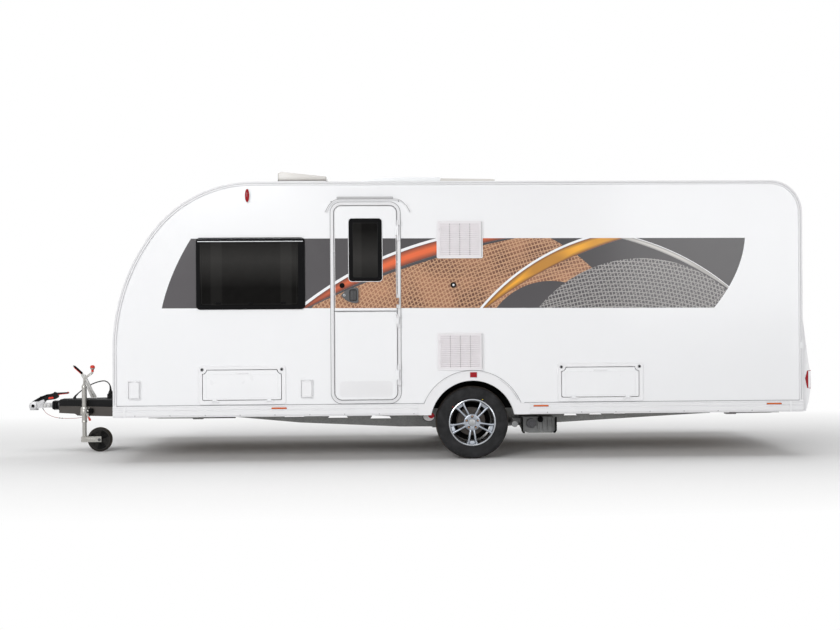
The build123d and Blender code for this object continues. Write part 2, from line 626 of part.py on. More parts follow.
# ---------------------------------------------------------------- fridge vents
with BuildPart() as fridge_vents:
    for z in VENT_ZS:
        extrude(rounded(-WALL_OUT, VENT_X - VENT_W / 2, VENT_X + VENT_W / 2, z - VENT_H / 2, z + VENT_H / 2, 14),
                amount=VENT_T)
    margin = 26.0
    pitch_x = (VENT_W - 2 * margin) / VENT_COLUMNS
    pitch_z = (VENT_H - 2 * margin) / VENT_ROWS
    with BuildSketch(Plane.XZ.offset(WALL_OUT)):
        for z in VENT_ZS:
            with Locations((VENT_X, z)):
                with GridLocations(pitch_x, pitch_z, VENT_COLUMNS, VENT_ROWS):
                    Rectangle(pitch_x - 8, pitch_z - 8)
    extrude(amount=VENT_T, mode=Mode.SUBTRACT)
finish(fridge_vents, "fridge_vents")

# ---------------------------------------------------------------- roof
MINI_FRAME_H, MINI_FRONT_H, MINI_REAR_H = 42.0, 82.0, 38.0
MIDI_FRAME_H, MIDI_LID_H = 60.0, 52.0
LIGHT_GAP = 0.4
LIGHT_PIN_OUT = 9.0
LIGHT_LAP = 8.0  # how far a lid overhangs its frame


def light_frame(cx, cy, lx, ly, height):
    with BuildPart() as ring:
        with BuildSketch(Plane.XY.offset(ROOF_Z)):
            with Locations((cx, cy)):
                RectangleRounded(lx - 2 * LIGHT_LAP, ly - 2 * LIGHT_LAP, 20)
                Rectangle(lx - 2 * LIGHT_RIM, ly - 2 * LIGHT_RIM, mode=Mode.SUBTRACT)
        extrude(amount=height)
    return ring.part


def light_hinge(cx, cy, lx, base):
    """(fixed, moving) hinge halves at a rooflight's front edge, level with the lid's lower face."""
    return hinge_halves(Plane(origin=(cx - lx / 2 - LIGHT_PIN_OUT, cy, base), x_dir=(0, 0, -1), z_dir=(0, -1, 0)),
                        160, LIGHT_PIN_OUT + LIGHT_LAP, pin_r=2.5, knuckle_r=5, reach=16)


mini_base = ROOF_Z + MINI_FRAME_H
midi_base = ROOF_Z + MIDI_FRAME_H


def light_lid(cx, cy, lx, ly, base, front_h, rear_h):
    """Domed acrylic lid: a wedge-sided cap with all its upper edges rounded."""
    with BuildPart() as lid:
        with BuildSketch(Plane.XZ.offset(-cy - ly / 2)):
            with BuildLine():
                Polyline((cx - lx / 2, base), (cx + lx / 2, base), (cx + lx / 2, base + rear_h),
                         (cx - lx / 2 + 30, base + front_h), (cx - lx / 2, base + front_h - 14), close=True)
            make_face()
        extrude(amount=ly)
        fillet(lid.edges().filter_by(Axis.Z), radius=22)
        with BuildSketch(Plane.XY.offset(base)):
            with Locations((cx, cy)):
                Rectangle(lx - 60, ly - 60)
        extrude(amount=10, mode=Mode.SUBTRACT)
    return lid


mini_hinge = light_hinge(MINI_X, MINI_Y, MINI_SIDE, mini_base)
midi_hinge = light_hinge(MIDI_X, MIDI_Y, MIDI_LX, midi_base)
with BuildPart() as rooflight_mini:
    add(light_lid(MINI_X, MINI_Y, MINI_SIDE, MINI_SIDE, mini_base + LIGHT_GAP, MINI_FRONT_H, MINI_REAR_H).part)
    add(mini_hinge[1])
finish(rooflight_mini, "rooflight_mini")
with BuildPart() as rooflight_midi:
    add(light_lid(MIDI_X, MIDI_Y, MIDI_LX, MIDI_LY, midi_base + LIGHT_GAP, MIDI_LID_H, MIDI_LID_H - 8).part)
    add(midi_hinge[1])
finish(rooflight_midi, "rooflight_midi")
with BuildPart() as rooflight_frames:
    add(light_frame(MINI_X, MINI_Y, MINI_SIDE, MINI_SIDE, MINI_FRAME_H))
    add(light_frame(MIDI_X, MIDI_Y, MIDI_LX, MIDI_LY, MIDI_FRAME_H))
    add(mini_hinge[0])
    add(midi_hinge[0])
finish(rooflight_frames, "rooflight_frames")

SOLAR_Y0, SOLAR_Y1 = -900.0, -420.0
with BuildPart() as solar_panel:
    slab(-398, 322, SOLAR_Y0, SOLAR_Y1, ROOF_Z + 28, ROOF_Z + 62)
    for x in (-398, 262):
        slab(x, x + 60, SOLAR_Y0, SOLAR_Y1, ROOF_Z, ROOF_Z + 28)
finish(solar_panel, "solar_panel")

# ---------------------------------------------------------------- rear moulding and lamps
BUMPER_Y = 1085.0
BUMPER_TOP = 1400.0
BUMPER_WALL = 6.0
LAMP_Y = 850.0  # inner end of a rear lamp cluster
LAMP_FACE = ((35, 700), (53, 770), (120, 776), (120, 604), (53, 612))  # side outline: X past the rear panel, Z
MARKERS_X = (-1142.0, 1202.0, 3320.0)  # amber side markers on the skirts
MARKER_Z = 478.0
ARCH_LAMP = (596.0, 761.0, 62.0, 46.0)  # X, Z, width and height of the reflector on the spat
TOP_LAMP = (-1415.0, 2375.0, 22.0, 62.0)  # X, Z and half axes of the high marker


def bumper_solid(drawn_in=0.0):
    """The rear moulding's whole outline between its ends, drawn in all round."""
    with BuildPart() as solid:
        with BuildSketch(Plane.XZ.offset(-BUMPER_Y + drawn_in)):
            with BuildLine():
                ThreePointArc((BODY_REAR, BUMPER_TOP), (BODY_REAR + 52, 960), (BODY_REAR + 87, 710))
                ThreePointArc((BODY_REAR + 87, 710), (BODY_REAR + 78, 560), (BODY_REAR + 40, SILL_Z))
                Polyline((BODY_REAR + 40, SILL_Z), (BODY_REAR, SILL_Z), (BODY_REAR, BUMPER_TOP))
            make_face()
            if drawn_in:
                offset(amount=-drawn_in, kind=Kind.INTERSECTION)
        extrude(amount=2 * (BUMPER_Y - drawn_in))
    return solid.part


def lamp_block(side, room):
    """The block that a rear lamp cluster is cut from, with room round it."""
    y0, y1 = sorted((side * (LAMP_Y - room), side * (BUMPER_Y + 1)))
    with BuildPart() as block:
        with BuildSketch(Plane.XZ.offset(-y1)):
            with BuildLine():
                Polyline([(BODY_REAR + dx, z) for dx, z in LAMP_FACE], close=True)
            make_face()
            if room:
                offset(amount=room, kind=Kind.INTERSECTION)
        extrude(amount=y1 - y0)
    return block.part


with BuildPart() as rear_bumper:
    add(bumper_solid())
    add(bumper_solid(BUMPER_WALL), mode=Mode.SUBTRACT)
    slab(BODY_REAR - 1, BODY_REAR + BUMPER_WALL + 1, -BUMPER_Y + BUMPER_WALL, BUMPER_Y - BUMPER_WALL,
         SILL_Z + BUMPER_WALL, 1250, Mode.SUBTRACT)
    for side in (-1, 1):
        add(lamp_block(side, SEAT), mode=Mode.SUBTRACT)
finish(rear_bumper, "rear_bumper")

with BuildPart() as lamps:
    for side in (-1, 1):
        add(bumper_solid() & lamp_block(side, 0))
        face = WALL_OUT + TRIM_OUT
        y0, y1 = sorted((side * face, side * (face + 8)))
        for x in MARKERS_X:
            slab(x - 68, x + 68, y0, y1, MARKER_Z - 7, MARKER_Z + 5)
        x, z, w, h = ARCH_LAMP
        slab(x - w / 2, x + w / 2, y0, y1, z - h / 2, z + h / 2)
        x, z, rx, rz = TOP_LAMP
        y0, y1 = sorted((side * WALL_OUT, side * (WALL_OUT + 20)))
        with BuildSketch(Plane.XZ.offset(-y1)) as high:
            with Locations((x, z)):
                Ellipse(rx, rz)
        extrude(high.sketch, amount=y1 - y0)
finish(lamps, "lamps")

# ---------------------------------------------------------------- road wheels
RIM_W = 150.0  # between the rim flanges
HUB_R = 78.0
BOLT_PCD_R = 56.0
SPOKE_PAIRS = 5


def tyre(side):
    """Tyre as one turned ring with a rounded shoulder and a bead at the rim."""
    y = side * TRACK_HALF
    half = TYRE_W / 2
    with BuildPart() as ring:
        with BuildSketch(Plane.YZ):
            with BuildLine():
                tread = Line((y - half + 22, TYRE_R), (y + half - 22, TYRE_R))
                ThreePointArc(tread @ 1, (y + half - 6, TYRE_R - 9), (y + half, TYRE_R - 34))
                ThreePointArc((y + half, TYRE_R - 34), (y + half + 0.5, 265), (y + half - 20, RIM_R - 8))
                Line((y + half - 20, RIM_R - 8), (y - half + 20, RIM_R - 8))
                ThreePointArc((y - half + 20, RIM_R - 8), (y - half - 0.5, 265), (y - half, TYRE_R - 34))
                ThreePointArc((y - half, TYRE_R - 34), (y - half + 6, TYRE_R - 9), tread @ 0)
            make_face()
        revolve(axis=Axis.Y)
    with BuildPart() as placed:
        add(ring.part.moved(Location((AXLE_X, 0, TYRE_R))))
    return placed


def alloy(side):
    """Cast alloy wheel: barrel, hub and five pairs of spokes that spread from the hub to the rim."""
    y = side * TRACK_HALF
    face = y + side * 74  # outer face of the spokes
    back = face - side * 26
    low, high = sorted((face, back))
    with BuildPart() as wheel:
        with BuildSketch(Plane.YZ):
            with BuildLine():
                Polyline((y - 78, RIM_R - 8 - SEAT), (y + 78, RIM_R - 8 - SEAT), (y + 78, RIM_R - 14), (y + 62, RIM_R - 24),
                         (y - 62, RIM_R - 24), (y - 78, RIM_R - 14), close=True)
            make_face()
        revolve(axis=Axis.Y)
        with BuildSketch(Plane.XZ.offset(-high)):
            Circle(HUB_R)
        extrude(amount=high - low)
        with BuildSketch(Plane.XZ.offset(-high)):
            with PolarLocations(0, SPOKE_PAIRS, start_angle=-90):
                for lean in (-1, 1):
                    with BuildLine():
                        Polyline((HUB_R - 14, lean * 6), (RIM_R - 20, lean * 22), (RIM_R - 20, lean * 44),
                                 (HUB_R - 14, lean * 24), close=True)
                    make_face()
        extrude(amount=high - low)
        with BuildSketch(Plane.XZ.offset(-high)):
            with PolarLocations(BOLT_PCD_R, 5, start_angle=-54):
                Circle(8)
        extrude(amount=high - low, mode=Mode.SUBTRACT)
    with BuildPart() as placed:
        add(wheel.part.moved(Location((AXLE_X, 0, TYRE_R))))
    return placed


for side, name in ((-1, "left"), (1, "right")):
    finish(tyre(side), f"tyre_{name}")
    finish(alloy(side), f"alloy_{name}")

# ---------------------------------------------------------------- chassis
MEMBER_FRONT_X, MEMBER_REAR_X = -1750.0, 2900.0
AXLE_BACK, AXLE_TUBE_Z = 150.0, 330.0  # axle tube ahead of the wheel centre, and its height
ARM_Y = MEMBER_Y + 150.0  # inner face of a trailing arm
MEMBER_BOTTOM = ((-1750, 368), (-998, 295), (-56, 248), (900, 240), (1463, 275), (2324, 321), (2900, 350))  # X, Z


JACK_X0, JACK_X1, JACK_Z = 250.0, 340.0, 236.0  # jacking pad under the side member's flange


def side_member(side):
    """Tapered side member: a pressed web with lightening holes and a bottom flange."""
    lower = [(x, z) for x, z in MEMBER_BOTTOM]
    y0, y1 = sorted((side * MEMBER_Y, side * (MEMBER_Y - MEMBER_T)))
    f0, f1 = sorted((side * MEMBER_Y, side * (MEMBER_Y - MEMBER_FLANGE)))
    with BuildPart() as member:
        with BuildSketch(Plane.XZ.offset(-y1)):
            with BuildLine():
                Polyline(lower + [(MEMBER_REAR_X, FLOOR_Z), (MEMBER_FRONT_X, FLOOR_Z)], close=True)
            make_face()
            for x, w, z in ((-1050, 190, 372), (-640, 190, 360), (-238, 200, 350), (1560, 130, 362), (1800, 120, 368),
                            (2030, 110, 374), (2250, 100, 380)):
                with Locations((x, z)):
                    Trapezoid(w, 52, 60, mode=Mode.SUBTRACT)
            with Locations((AXLE_X - AXLE_BACK, AXLE_TUBE_Z)):
                RegularPolygon(AXLE_TUBE_R, 6, mode=Mode.SUBTRACT)
        extrude(amount=y1 - y0)
        with BuildSketch(Plane.XZ.offset(-f1)):
            with BuildLine():
                Polyline(lower + [(x, z + MEMBER_T) for x, z in reversed(lower)], close=True)
            make_face()
        extrude(amount=f1 - f0)
        with BuildSketch(Plane.XZ.offset(-f1)):
            with BuildLine():
                Polyline((MEMBER_FRONT_X, FLOOR_Z - MEMBER_T), (MEMBER_REAR_X, FLOOR_Z - MEMBER_T),
                         (MEMBER_REAR_X, FLOOR_Z), (MEMBER_FRONT_X, FLOOR_Z), close=True)
            make_face()
        extrude(amount=f1 - f0)
        slab(JACK_X0, JACK_X1, f0, f1, JACK_Z, JACK_Z + 14)
    return member


DRAW_FRONT = (-3380.0, 48.0)  # X, Y of the drawbar web's front end
DRAW_BEND_X, DRAW_END_X = -1900.0, -1600.0
DRAW_TOP, DRAW_BOTTOM = 434.0, 343.0
DRAW_NOSE = ((-20, 365), (165, 360), (195, 343), (195, 300), (-20, 300))  # cut below the nose: X past the front, Z


def draw_face_y(x):
    """Distance of the drawbar web's outer face from the centre line at a given X."""
    slope = (MEMBER_Y + MEMBER_T / 2 - DRAW_FRONT[1]) / (DRAW_BEND_X - DRAW_FRONT[0])
    return DRAW_FRONT[1] + slope * (x - DRAW_FRONT[0]) + MEMBER_T / 2 * (1 + slope**2) ** 0.5


def drawbar(side):
    """Drawbar member: a deep web that splays out from the overrun housing and laps the side member."""
    lap_y = side * (MEMBER_Y + MEMBER_T / 2)
    with BuildPart() as member:
        with BuildSketch(Plane.XY.offset(DRAW_BOTTOM)):
            with BuildLine():
                Polyline((DRAW_FRONT[0], side * DRAW_FRONT[1]), (DRAW_BEND_X, lap_y), (DRAW_END_X, lap_y))
            trace(line_width=MEMBER_T)
        extrude(amount=DRAW_TOP - DRAW_BOTTOM)
        with BuildSketch(Plane.XZ.offset(-900)):
            with BuildLine():
                Polyline([(DRAW_FRONT[0] + dx, z) for dx, z in DRAW_NOSE], close=True)
            make_face()
        extrude(amount=1800, mode=Mode.SUBTRACT)
    return member.part


with BuildPart() as side_members:
    for side in (-1, 1):
        add(side_member(side).part)
finish(side_members, "side_members")
with BuildPart() as drawbar_arms:
    for side in (-1, 1):
        add(drawbar(side))
finish(drawbar_arms, "drawbar")

DRUM_R = 128.0
DRUM_Y0, DRUM_Y1 = TRACK_HALF - 130, TRACK_HALF - 60
HUB_FACE = TRACK_HALF + 47.5  # just inside the alloy's hub


def across(x, z, y0, y1, side, r):
    """A round bar along Y between two distances from the centre line, on the given side."""
    low, high = sorted((side * y0, side * y1))
    with BuildSketch(Plane.XZ.offset(-high)) as disc:
        with Locations((x, z)):
            Circle(r)
    extrude(disc.sketch, amount=high - low)


with BuildPart() as axle:
    with BuildSketch(Plane.XZ.offset(-ARM_Y)):
        with Locations((AXLE_X - AXLE_BACK, AXLE_TUBE_Z)):
            RegularPolygon(AXLE_TUBE_R, 6)
    extrude(amount=2 * ARM_Y)
    for side in (-1, 1):
        y0, y1 = sorted((side * ARM_Y, side * (ARM_Y + 40)))
        with BuildSketch(Plane.XZ.offset(-y1)):
            with BuildLine():
                Polyline((AXLE_X - 215, 378), (AXLE_X - 90, 385), (AXLE_X + 45, 365), (AXLE_X + 45, 290),
                         (AXLE_X - 90, 275), (AXLE_X - 215, 282), close=True)
            make_face()
        extrude(amount=y1 - y0)
        across(AXLE_X, TYRE_R, ARM_Y + 40, DRUM_Y0, side, 38)
        across(AXLE_X, TYRE_R, DRUM_Y0, DRUM_Y1, side, DRUM_R)
        across(AXLE_X, TYRE_R, DRUM_Y1, HUB_FACE, side, 60)
finish(axle, "axle")

# ---------------------------------------------------------------- hitch
HOUSING_X = DRAW_FRONT[0] - 4
HOUSING_END = -3170.0
HOUSING_R = 40.0
GAITER_X = -3456.0
GAITER_FOLDS = 5
BALL_X, BALL_R = -3636.0, 25.3
HEAD_BOTTOM, HEAD_R, HEAD_TOP = 393.0, 42.0, 478.0
BALL_Z = HEAD_BOTTOM + 28.0
SHANK_W, SHANK_H = 52.0, 46.0


def along_x(x0, x1, z, r, y=0.0):
    with BuildSketch(Plane.YZ.offset(x0)) as disc:
        with Locations((y, z)):
            Circle(r)
    extrude(disc.sketch, amount=x1 - x0)


def domed(x, y, z0, z1, r):
    """A round post with a half-ball top, turned about its own upright axis: foot level, springing level, radius."""
    with BuildPart() as post:
        with BuildSketch(Plane.XZ.offset(-y)):
            with BuildLine():
                Polyline((x, z0), (x + r, z0), (x + r, z1))
                low, high = ((x + r * cos(radians(a)), z1 + r * sin(radians(a))) for a in (43, 86))
                ThreePointArc((x + r, z1), low, high)
                Polyline(high, (x, high[1]), (x, z0))
            make_face()
        revolve(axis=Axis((x, y, 0), (0, 0, 1)))
    return post.part


with BuildPart() as overrun_housing:
    along_x(HOUSING_X, HOUSING_END, COUPLING_Z, HOUSING_R)
    for side in (-1, 1):
        y0, y1 = sorted((side * 25, side * (DRAW_FRONT[1] - MEMBER_T / 2 - 0.2)))
        slab(DRAW_FRONT[0] + 4, DRAW_FRONT[0] + 30, y0, y1, 400, 460)
    slab(HOUSING_END - 30, HOUSING_END, -98, 98, 408, DRAW_TOP + 6)
finish(overrun_housing, "overrun_housing")

with BuildPart() as gaiter:
    with BuildSketch(Plane.XZ):
        with BuildLine():
            folds = [(GAITER_X, 0)]
            step = (HOUSING_X - GAITER_X) / GAITER_FOLDS
            for k in range(GAITER_FOLDS):
                x = GAITER_X + k * step
                folds += [(x, 39), (x + step / 2, 48)]
            folds += [(HOUSING_X, 41), (HOUSING_X, 0)]
            Polyline(folds, close=True)
        make_face()
    revolve(axis=Axis.X)
    gaiter.part = gaiter.part.moved(Location((0, 0, COUPLING_Z)))
finish(gaiter, "gaiter")

with BuildPart() as coupling:
    add(domed(BALL_X, 0, HEAD_BOTTOM, HEAD_TOP - HEAD_R, HEAD_R))
    with BuildSketch(Plane.XY.offset(COUPLING_Z - 20)):
        with Locations((BALL_X - HEAD_R + 4, 0)):
            Circle(12)
    extrude(amount=24)
    with BuildSketch(Plane.XZ.offset(-32)):
        with BuildLine():
            Polyline((BALL_X, 402), (BALL_X + 60, 412), (BALL_X + 92, 415), (BALL_X + 92, 461), (BALL_X + 84, HEAD_TOP),
                     (BALL_X - 14, HEAD_TOP), (BALL_X - 14, 440), close=True)
        make_face()
    extrude(amount=64)
    slab(BALL_X + 60, GAITER_X, -SHANK_W / 2, SHANK_W / 2, COUPLING_Z - SHANK_H / 2, COUPLING_Z + SHANK_H / 2)
    for x in (-3522, -3482):
        with BuildSketch(Plane.XZ.offset(-SHANK_W / 2 - 9)):
            with Locations((x, COUPLING_Z)):
                RegularPolygon(11, 6)
        extrude(amount=SHANK_W + 18)
    add(domed(BALL_X, 0, HEAD_BOTTOM, BALL_Z, BALL_R), mode=Mode.SUBTRACT)
finish(coupling, "coupling")

with BuildPart() as coupling_handle:
    with BuildSketch(Plane.XZ.offset(-23)):
        with BuildLine():
            Polyline((-3648, HEAD_TOP + SEAT), (-3552, HEAD_TOP + SEAT), (-3530, 485), (-3472, 492), (-3431, 497),
                     (-3402, 514), (-3397, 543), (-3298, 553), (-3304, 565), (-3419, 560), (-3435, 569), (-3452, 551),
                     (-3513, 545), (-3579, 518), (-3625, 492), close=True)
        make_face()
    extrude(amount=46)
finish(coupling_handle, "coupling_handle")

COVER_X0, COVER_X1 = -3374.0, -2640.0
COVER_Y0, COVER_Y1 = 64.0, 250.0
COVER_TOP = 500.0
PLUG_X, PLUG_Y, PARK_TOP = -2900.0, 34.0, 540.0  # parking socket on the cover and its top
PLUG_R = 21.0
CABLE_OUT = (-3252.0, PLUG_Y, COVER_TOP)  # where the main cable leaves the cover
with BuildPart() as drawbar_cover:
    with BuildSketch(Plane.XY.offset(DRAW_TOP + SEAT)):
        with BuildLine():
            Polyline((COVER_X0, -COVER_Y0), (COVER_X1, -COVER_Y1), (COVER_X1, COVER_Y1), (COVER_X0, COVER_Y0), close=True)
        make_face()
    extrude(amount=COVER_TOP - DRAW_TOP - SEAT)
    fillet(drawbar_cover.edges().group_by(Axis.Z)[-1], radius=16)
    slab(COVER_X0 - 1, HOUSING_END + 5, -46, 46, DRAW_TOP - 1, COUPLING_Z + HOUSING_R + 1, Mode.SUBTRACT)
    slab(HOUSING_END - 35, HOUSING_END + 5, -100, 100, DRAW_TOP - 1, DRAW_TOP + 10, Mode.SUBTRACT)
    with BuildSketch(Plane.XY.offset(COVER_TOP - 2)):
        with Locations((PLUG_X, PLUG_Y)):
            RectangleRounded(58, 62, 10)
    extrude(amount=PARK_TOP - COVER_TOP + 2)
    with BuildSketch(Plane.XY.offset(PARK_TOP)):
        with Locations((PLUG_X, PLUG_Y)):
            Circle(PLUG_R + SEAT)
    extrude(amount=-34, mode=Mode.SUBTRACT)
    with BuildSketch(Plane.XY.offset(COVER_TOP - 2)):
        with Locations(CABLE_OUT[:2]):
            Circle(15)
    extrude(amount=12)
finish(drawbar_cover, "drawbar_cover")

with BuildPart() as handbrake:
    with BuildSketch(Plane.XZ.offset(-8)):
        with BuildLine():
            Polyline((-3078, COVER_TOP + 0.2), (-3024, COVER_TOP + 0.2), (-3034, 530), (-3160, 748), (-3246, 830),
                     (-3256, 818), (-3178, 738), close=True)
        make_face()
    extrude(amount=16)
finish(handbrake, "handbrake")

# ---------------------------------------------------------------- cables
CABLE_R = 5.5
WIRE_R = 2.0
PLUG_TOP = 584.0
CABLE_ARC = 72.0  # radius of the bend down into the plug


def cord_tube(points, r, label):
    """A round cable through the points, its corners rounded; prints the bend radii."""
    path = [Vector(*p) for p in points]
    runs = [(b - a).length for a, b in zip(path, path[1:])]
    with BuildPart() as tube:
        radii = []
        for a, b, c, before, after in zip(path, path[1:], path[2:], runs, runs[1:]):
            half_turn = radians((b - a).get_angle(c - b) / 2)
            radii.append(0.45 * min(before, after) / tan(half_turn))
        with BuildLine() as line:
            at = path[0]
            for a, b, c, radius in zip(path, path[1:], path[2:], radii):
                half_turn = radians((b - a).get_angle(c - b) / 2)
                back = radius * tan(half_turn)
                start, end = b + (a - b).normalized() * back, b + (c - b).normalized() * back
                Line(at, start)
                middle = b + ((start + end) * 0.5 - b).normalized() * (radius / cos(half_turn) - radius)
                ThreePointArc(start, middle, end)
                at = end
            Line(at, path[-1])
        with BuildSketch(Plane(origin=path[0], z_dir=path[1] - path[0])):
            Circle(r)
        sweep(path=line.wires()[0])
    print(label, "bend radii", [round(v) for v in radii], "length", round(line.wires()[0].length),
          "volume over section times length", round(tube.part.volume / (3.14159 * r * r * line.wires()[0].length), 4))
    finish(tube, label)


arc_centre = (PLUG_X - CABLE_ARC, PLUG_TOP + 18)
into_plug = [(arc_centre[0] + CABLE_ARC * cos(radians(a)), PLUG_Y, arc_centre[1] + CABLE_ARC * sin(radians(a)))
             for a in (88, 58, 29, 0)]
MAIN_CABLE = ((CABLE_OUT[0], PLUG_Y, COVER_TOP + 13.7), (-3238, PLUG_Y, 530), (-3188, PLUG_Y, 577), (-3118, PLUG_Y, 623),
              (-3046, PLUG_Y, 656), *into_plug, (PLUG_X, PLUG_Y, PLUG_TOP - 13))
cord_tube(MAIN_CABLE, CABLE_R, "main_cable")

with BuildPart() as main_plug:
    with BuildSketch(Plane.XZ.offset(-PLUG_Y)):
        with BuildLine():
            Polyline((0, PARK_TOP - 30), (PLUG_R, PARK_TOP - 30), (PLUG_R, PARK_TOP + 4), (PLUG_R + 3, PARK_TOP + 4),
                     (PLUG_R + 3, PARK_TOP + 14), (PLUG_R, PARK_TOP + 20), (14, PLUG_TOP - 14), (11, PLUG_TOP),
                     (CABLE_R + SEAT, PLUG_TOP), (CABLE_R + SEAT, PLUG_TOP - 14), (0, PLUG_TOP - 14), close=True)
        make_face()
    revolve(axis=Axis((0, PLUG_Y, 0), (0, 0, 1)))
    main_plug.part = main_plug.part.moved(Location((PLUG_X, 0, 0)))
finish(main_plug, "main_plug")

WIRE_Y = -12.0
BREAKAWAY = ((-3552, WIRE_Y, 413.2), (-3534, WIRE_Y, 378), (-3502, WIRE_Y, 349), (-3455, WIRE_Y, 326), (-3400, WIRE_Y, 313),
             (-3342, WIRE_Y, 308), (-3284, WIRE_Y, 307), (-3226, WIRE_Y, 309), (-3168, WIRE_Y, 315), (-3112, WIRE_Y, 325),
             (-3059, WIRE_Y, 341), (-3010, WIRE_Y, 366), (-2974, WIRE_Y, 398), (-2956, WIRE_Y, 433.4))
cord_tube(BREAKAWAY, WIRE_R, "breakaway_cable")

# ---------------------------------------------------------------- jockey wheel
TUBE_BOTTOM, TUBE_TOP = 282.0, 632.0
LEG_R, LEG_TOP, LEG_BOTTOM = 20.6, 430.0, 149.0
BORE_R = 21.1
CLAMP_Z, CLAMP_OUT = 360.0, 30.0  # lower edge of the clamp, and its handle's reach past the tube's axis
SPINDLE_TOP = 678.0
CRANK_X, CRANK_Z = JOCKEY_X + 80.0, 766.0  # foot of the crank's knob
FORK_TOP, FORK_BOTTOM = 148.5, 94.0
SWIVEL_R = 8.0


def upright(z0, z1, r, mode=Mode.ADD):
    with BuildSketch(Plane.XY.offset(z0)) as disc:
        with Locations((JOCKEY_X, JOCKEY_Y)):
            Circle(r)
    extrude(disc.sketch, amount=z1 - z0, mode=mode)


with BuildPart() as jockey_mount:
    upright(TUBE_BOTTOM, TUBE_TOP, JOCKEY_TUBE_R)
    upright(TUBE_BOTTOM, TUBE_TOP - 6, BORE_R, Mode.SUBTRACT)
    with BuildSketch(Plane.XY.offset(CLAMP_Z)):
        with Locations((JOCKEY_X, JOCKEY_Y)):
            Circle(JOCKEY_TUBE_R + 12)
        with Locations((JOCKEY_X + 15, JOCKEY_Y + 30)):
            Rectangle(60, 36)
        with Locations((JOCKEY_X, JOCKEY_Y)):
            Circle(JOCKEY_TUBE_R, mode=Mode.SUBTRACT)
        with BuildLine():
            Line((JOCKEY_X - 200, -draw_face_y(JOCKEY_X - 200)), (JOCKEY_X + 200, -draw_face_y(JOCKEY_X + 200)))
            Line((JOCKEY_X + 200, -draw_face_y(JOCKEY_X + 200)), (JOCKEY_X + 200, 100))
            Line((JOCKEY_X + 200, 100), (JOCKEY_X - 200, 100))
            Line((JOCKEY_X - 200, 100), (JOCKEY_X - 200, -draw_face_y(JOCKEY_X - 200)))
        make_face(mode=Mode.SUBTRACT)
    extrude(amount=DRAW_TOP - 4 - CLAMP_Z)
    upright(TUBE_TOP, TUBE_TOP + 16, 17)
    upright(TUBE_TOP, SPINDLE_TOP + 10, 11)
    with BuildSketch(Plane.XZ.offset(-JOCKEY_Y - 5)):
        with BuildLine():
            Polyline((JOCKEY_X - 8, SPINDLE_TOP - 26), (JOCKEY_X + 8, SPINDLE_TOP - 26), (JOCKEY_X + 8, SPINDLE_TOP + 18),
                     (CRANK_X + 6, CRANK_Z - 8), (CRANK_X + 6, CRANK_Z + 6), (CRANK_X - 6, CRANK_Z + 6),
                     (JOCKEY_X - 8, SPINDLE_TOP + 34), close=True)
        make_face()
    extrude(amount=10)
    with BuildSketch(Plane.XZ.offset(-JOCKEY_Y)):
        with BuildLine():
            Polyline((CRANK_X, CRANK_Z), (CRANK_X + 11, CRANK_Z), (CRANK_X + 11, CRANK_Z + 24), (CRANK_X + 20, CRANK_Z + 34))
            ThreePointArc((CRANK_X + 20, CRANK_Z + 34), (CRANK_X + 22, CRANK_Z + 52), (CRANK_X + 12, CRANK_Z + 66))
            Polyline((CRANK_X + 12, CRANK_Z + 66), (CRANK_X + 4, CRANK_Z + 69), (CRANK_X, CRANK_Z + 69), (CRANK_X, CRANK_Z))
        make_face()
    revolve(axis=Axis((CRANK_X, JOCKEY_Y, 0), (0, 0, 1)))
    with BuildSketch(Plane.XZ.offset(-JOCKEY_Y + CLAMP_OUT)):
        with BuildLine():
            Polyline((JOCKEY_X + 26, 350), (JOCKEY_X + 44, 358), (JOCKEY_X + 66, 306), (JOCKEY_X + 48, 298), close=True)
        make_face()
    extrude(amount=-14)
    slab(JOCKEY_X + 22.8, JOCKEY_X + 44, JOCKEY_Y - CLAMP_OUT + 1, JOCKEY_Y + 12, 350, 372)
finish(jockey_mount, "jockey_mount")

with BuildPart() as jockey_leg:
    upright(LEG_BOTTOM, LEG_TOP, LEG_R)
    upright(LEG_BOTTOM + 26, LEG_TOP - 20, LEG_R - 4, Mode.SUBTRACT)
    upright(LEG_BOTTOM, LEG_BOTTOM + 26, SWIVEL_R + PIN_CLEAR, Mode.SUBTRACT)
finish(jockey_leg, "jockey_leg")

WHEEL_X = JOCKEY_X + JOCKEY_TRAIL
FORK_T = 5.0
with BuildPart() as jockey_fork:
    upright(FORK_BOTTOM, FORK_TOP, 25)
    upright(FORK_TOP, LEG_BOTTOM + 27, SWIVEL_R)
    upright(LEG_BOTTOM + 26.5, LEG_BOTTOM + 34, SWIVEL_R + 5)
    half = JOCKEY_W / 2 + 5.5
    for side in (-1, 1):
        y0, y1 = sorted((JOCKEY_Y + side * half, JOCKEY_Y + side * (half + FORK_T)))
        slab(JOCKEY_X - 20, WHEEL_X + 20, y0, y1, FORK_BOTTOM, FORK_TOP)
    slab(JOCKEY_X - 20, JOCKEY_X + 22, JOCKEY_Y - half, JOCKEY_Y + half, FORK_BOTTOM, FORK_TOP)
    with BuildSketch(Plane.XZ.offset(-JOCKEY_Y - half - FORK_T)):
        with Locations((WHEEL_X, JOCKEY_R)):
            Circle(7)
    extrude(amount=2 * (half + FORK_T))
finish(jockey_fork, "jockey_fork")

with BuildPart() as jockey_wheel:
    with BuildSketch(Plane.XZ.offset(-JOCKEY_Y - JOCKEY_W / 2)):
        with Locations((WHEEL_X, JOCKEY_R)):
            Circle(JOCKEY_R)
            Circle(7 + PIN_CLEAR, mode=Mode.SUBTRACT)
    extrude(amount=JOCKEY_W)
    fillet(jockey_wheel.edges().filter_by(GeomType.CIRCLE).group_by(SortBy.RADIUS)[-1], radius=12)
finish(jockey_wheel, "jockey_wheel")

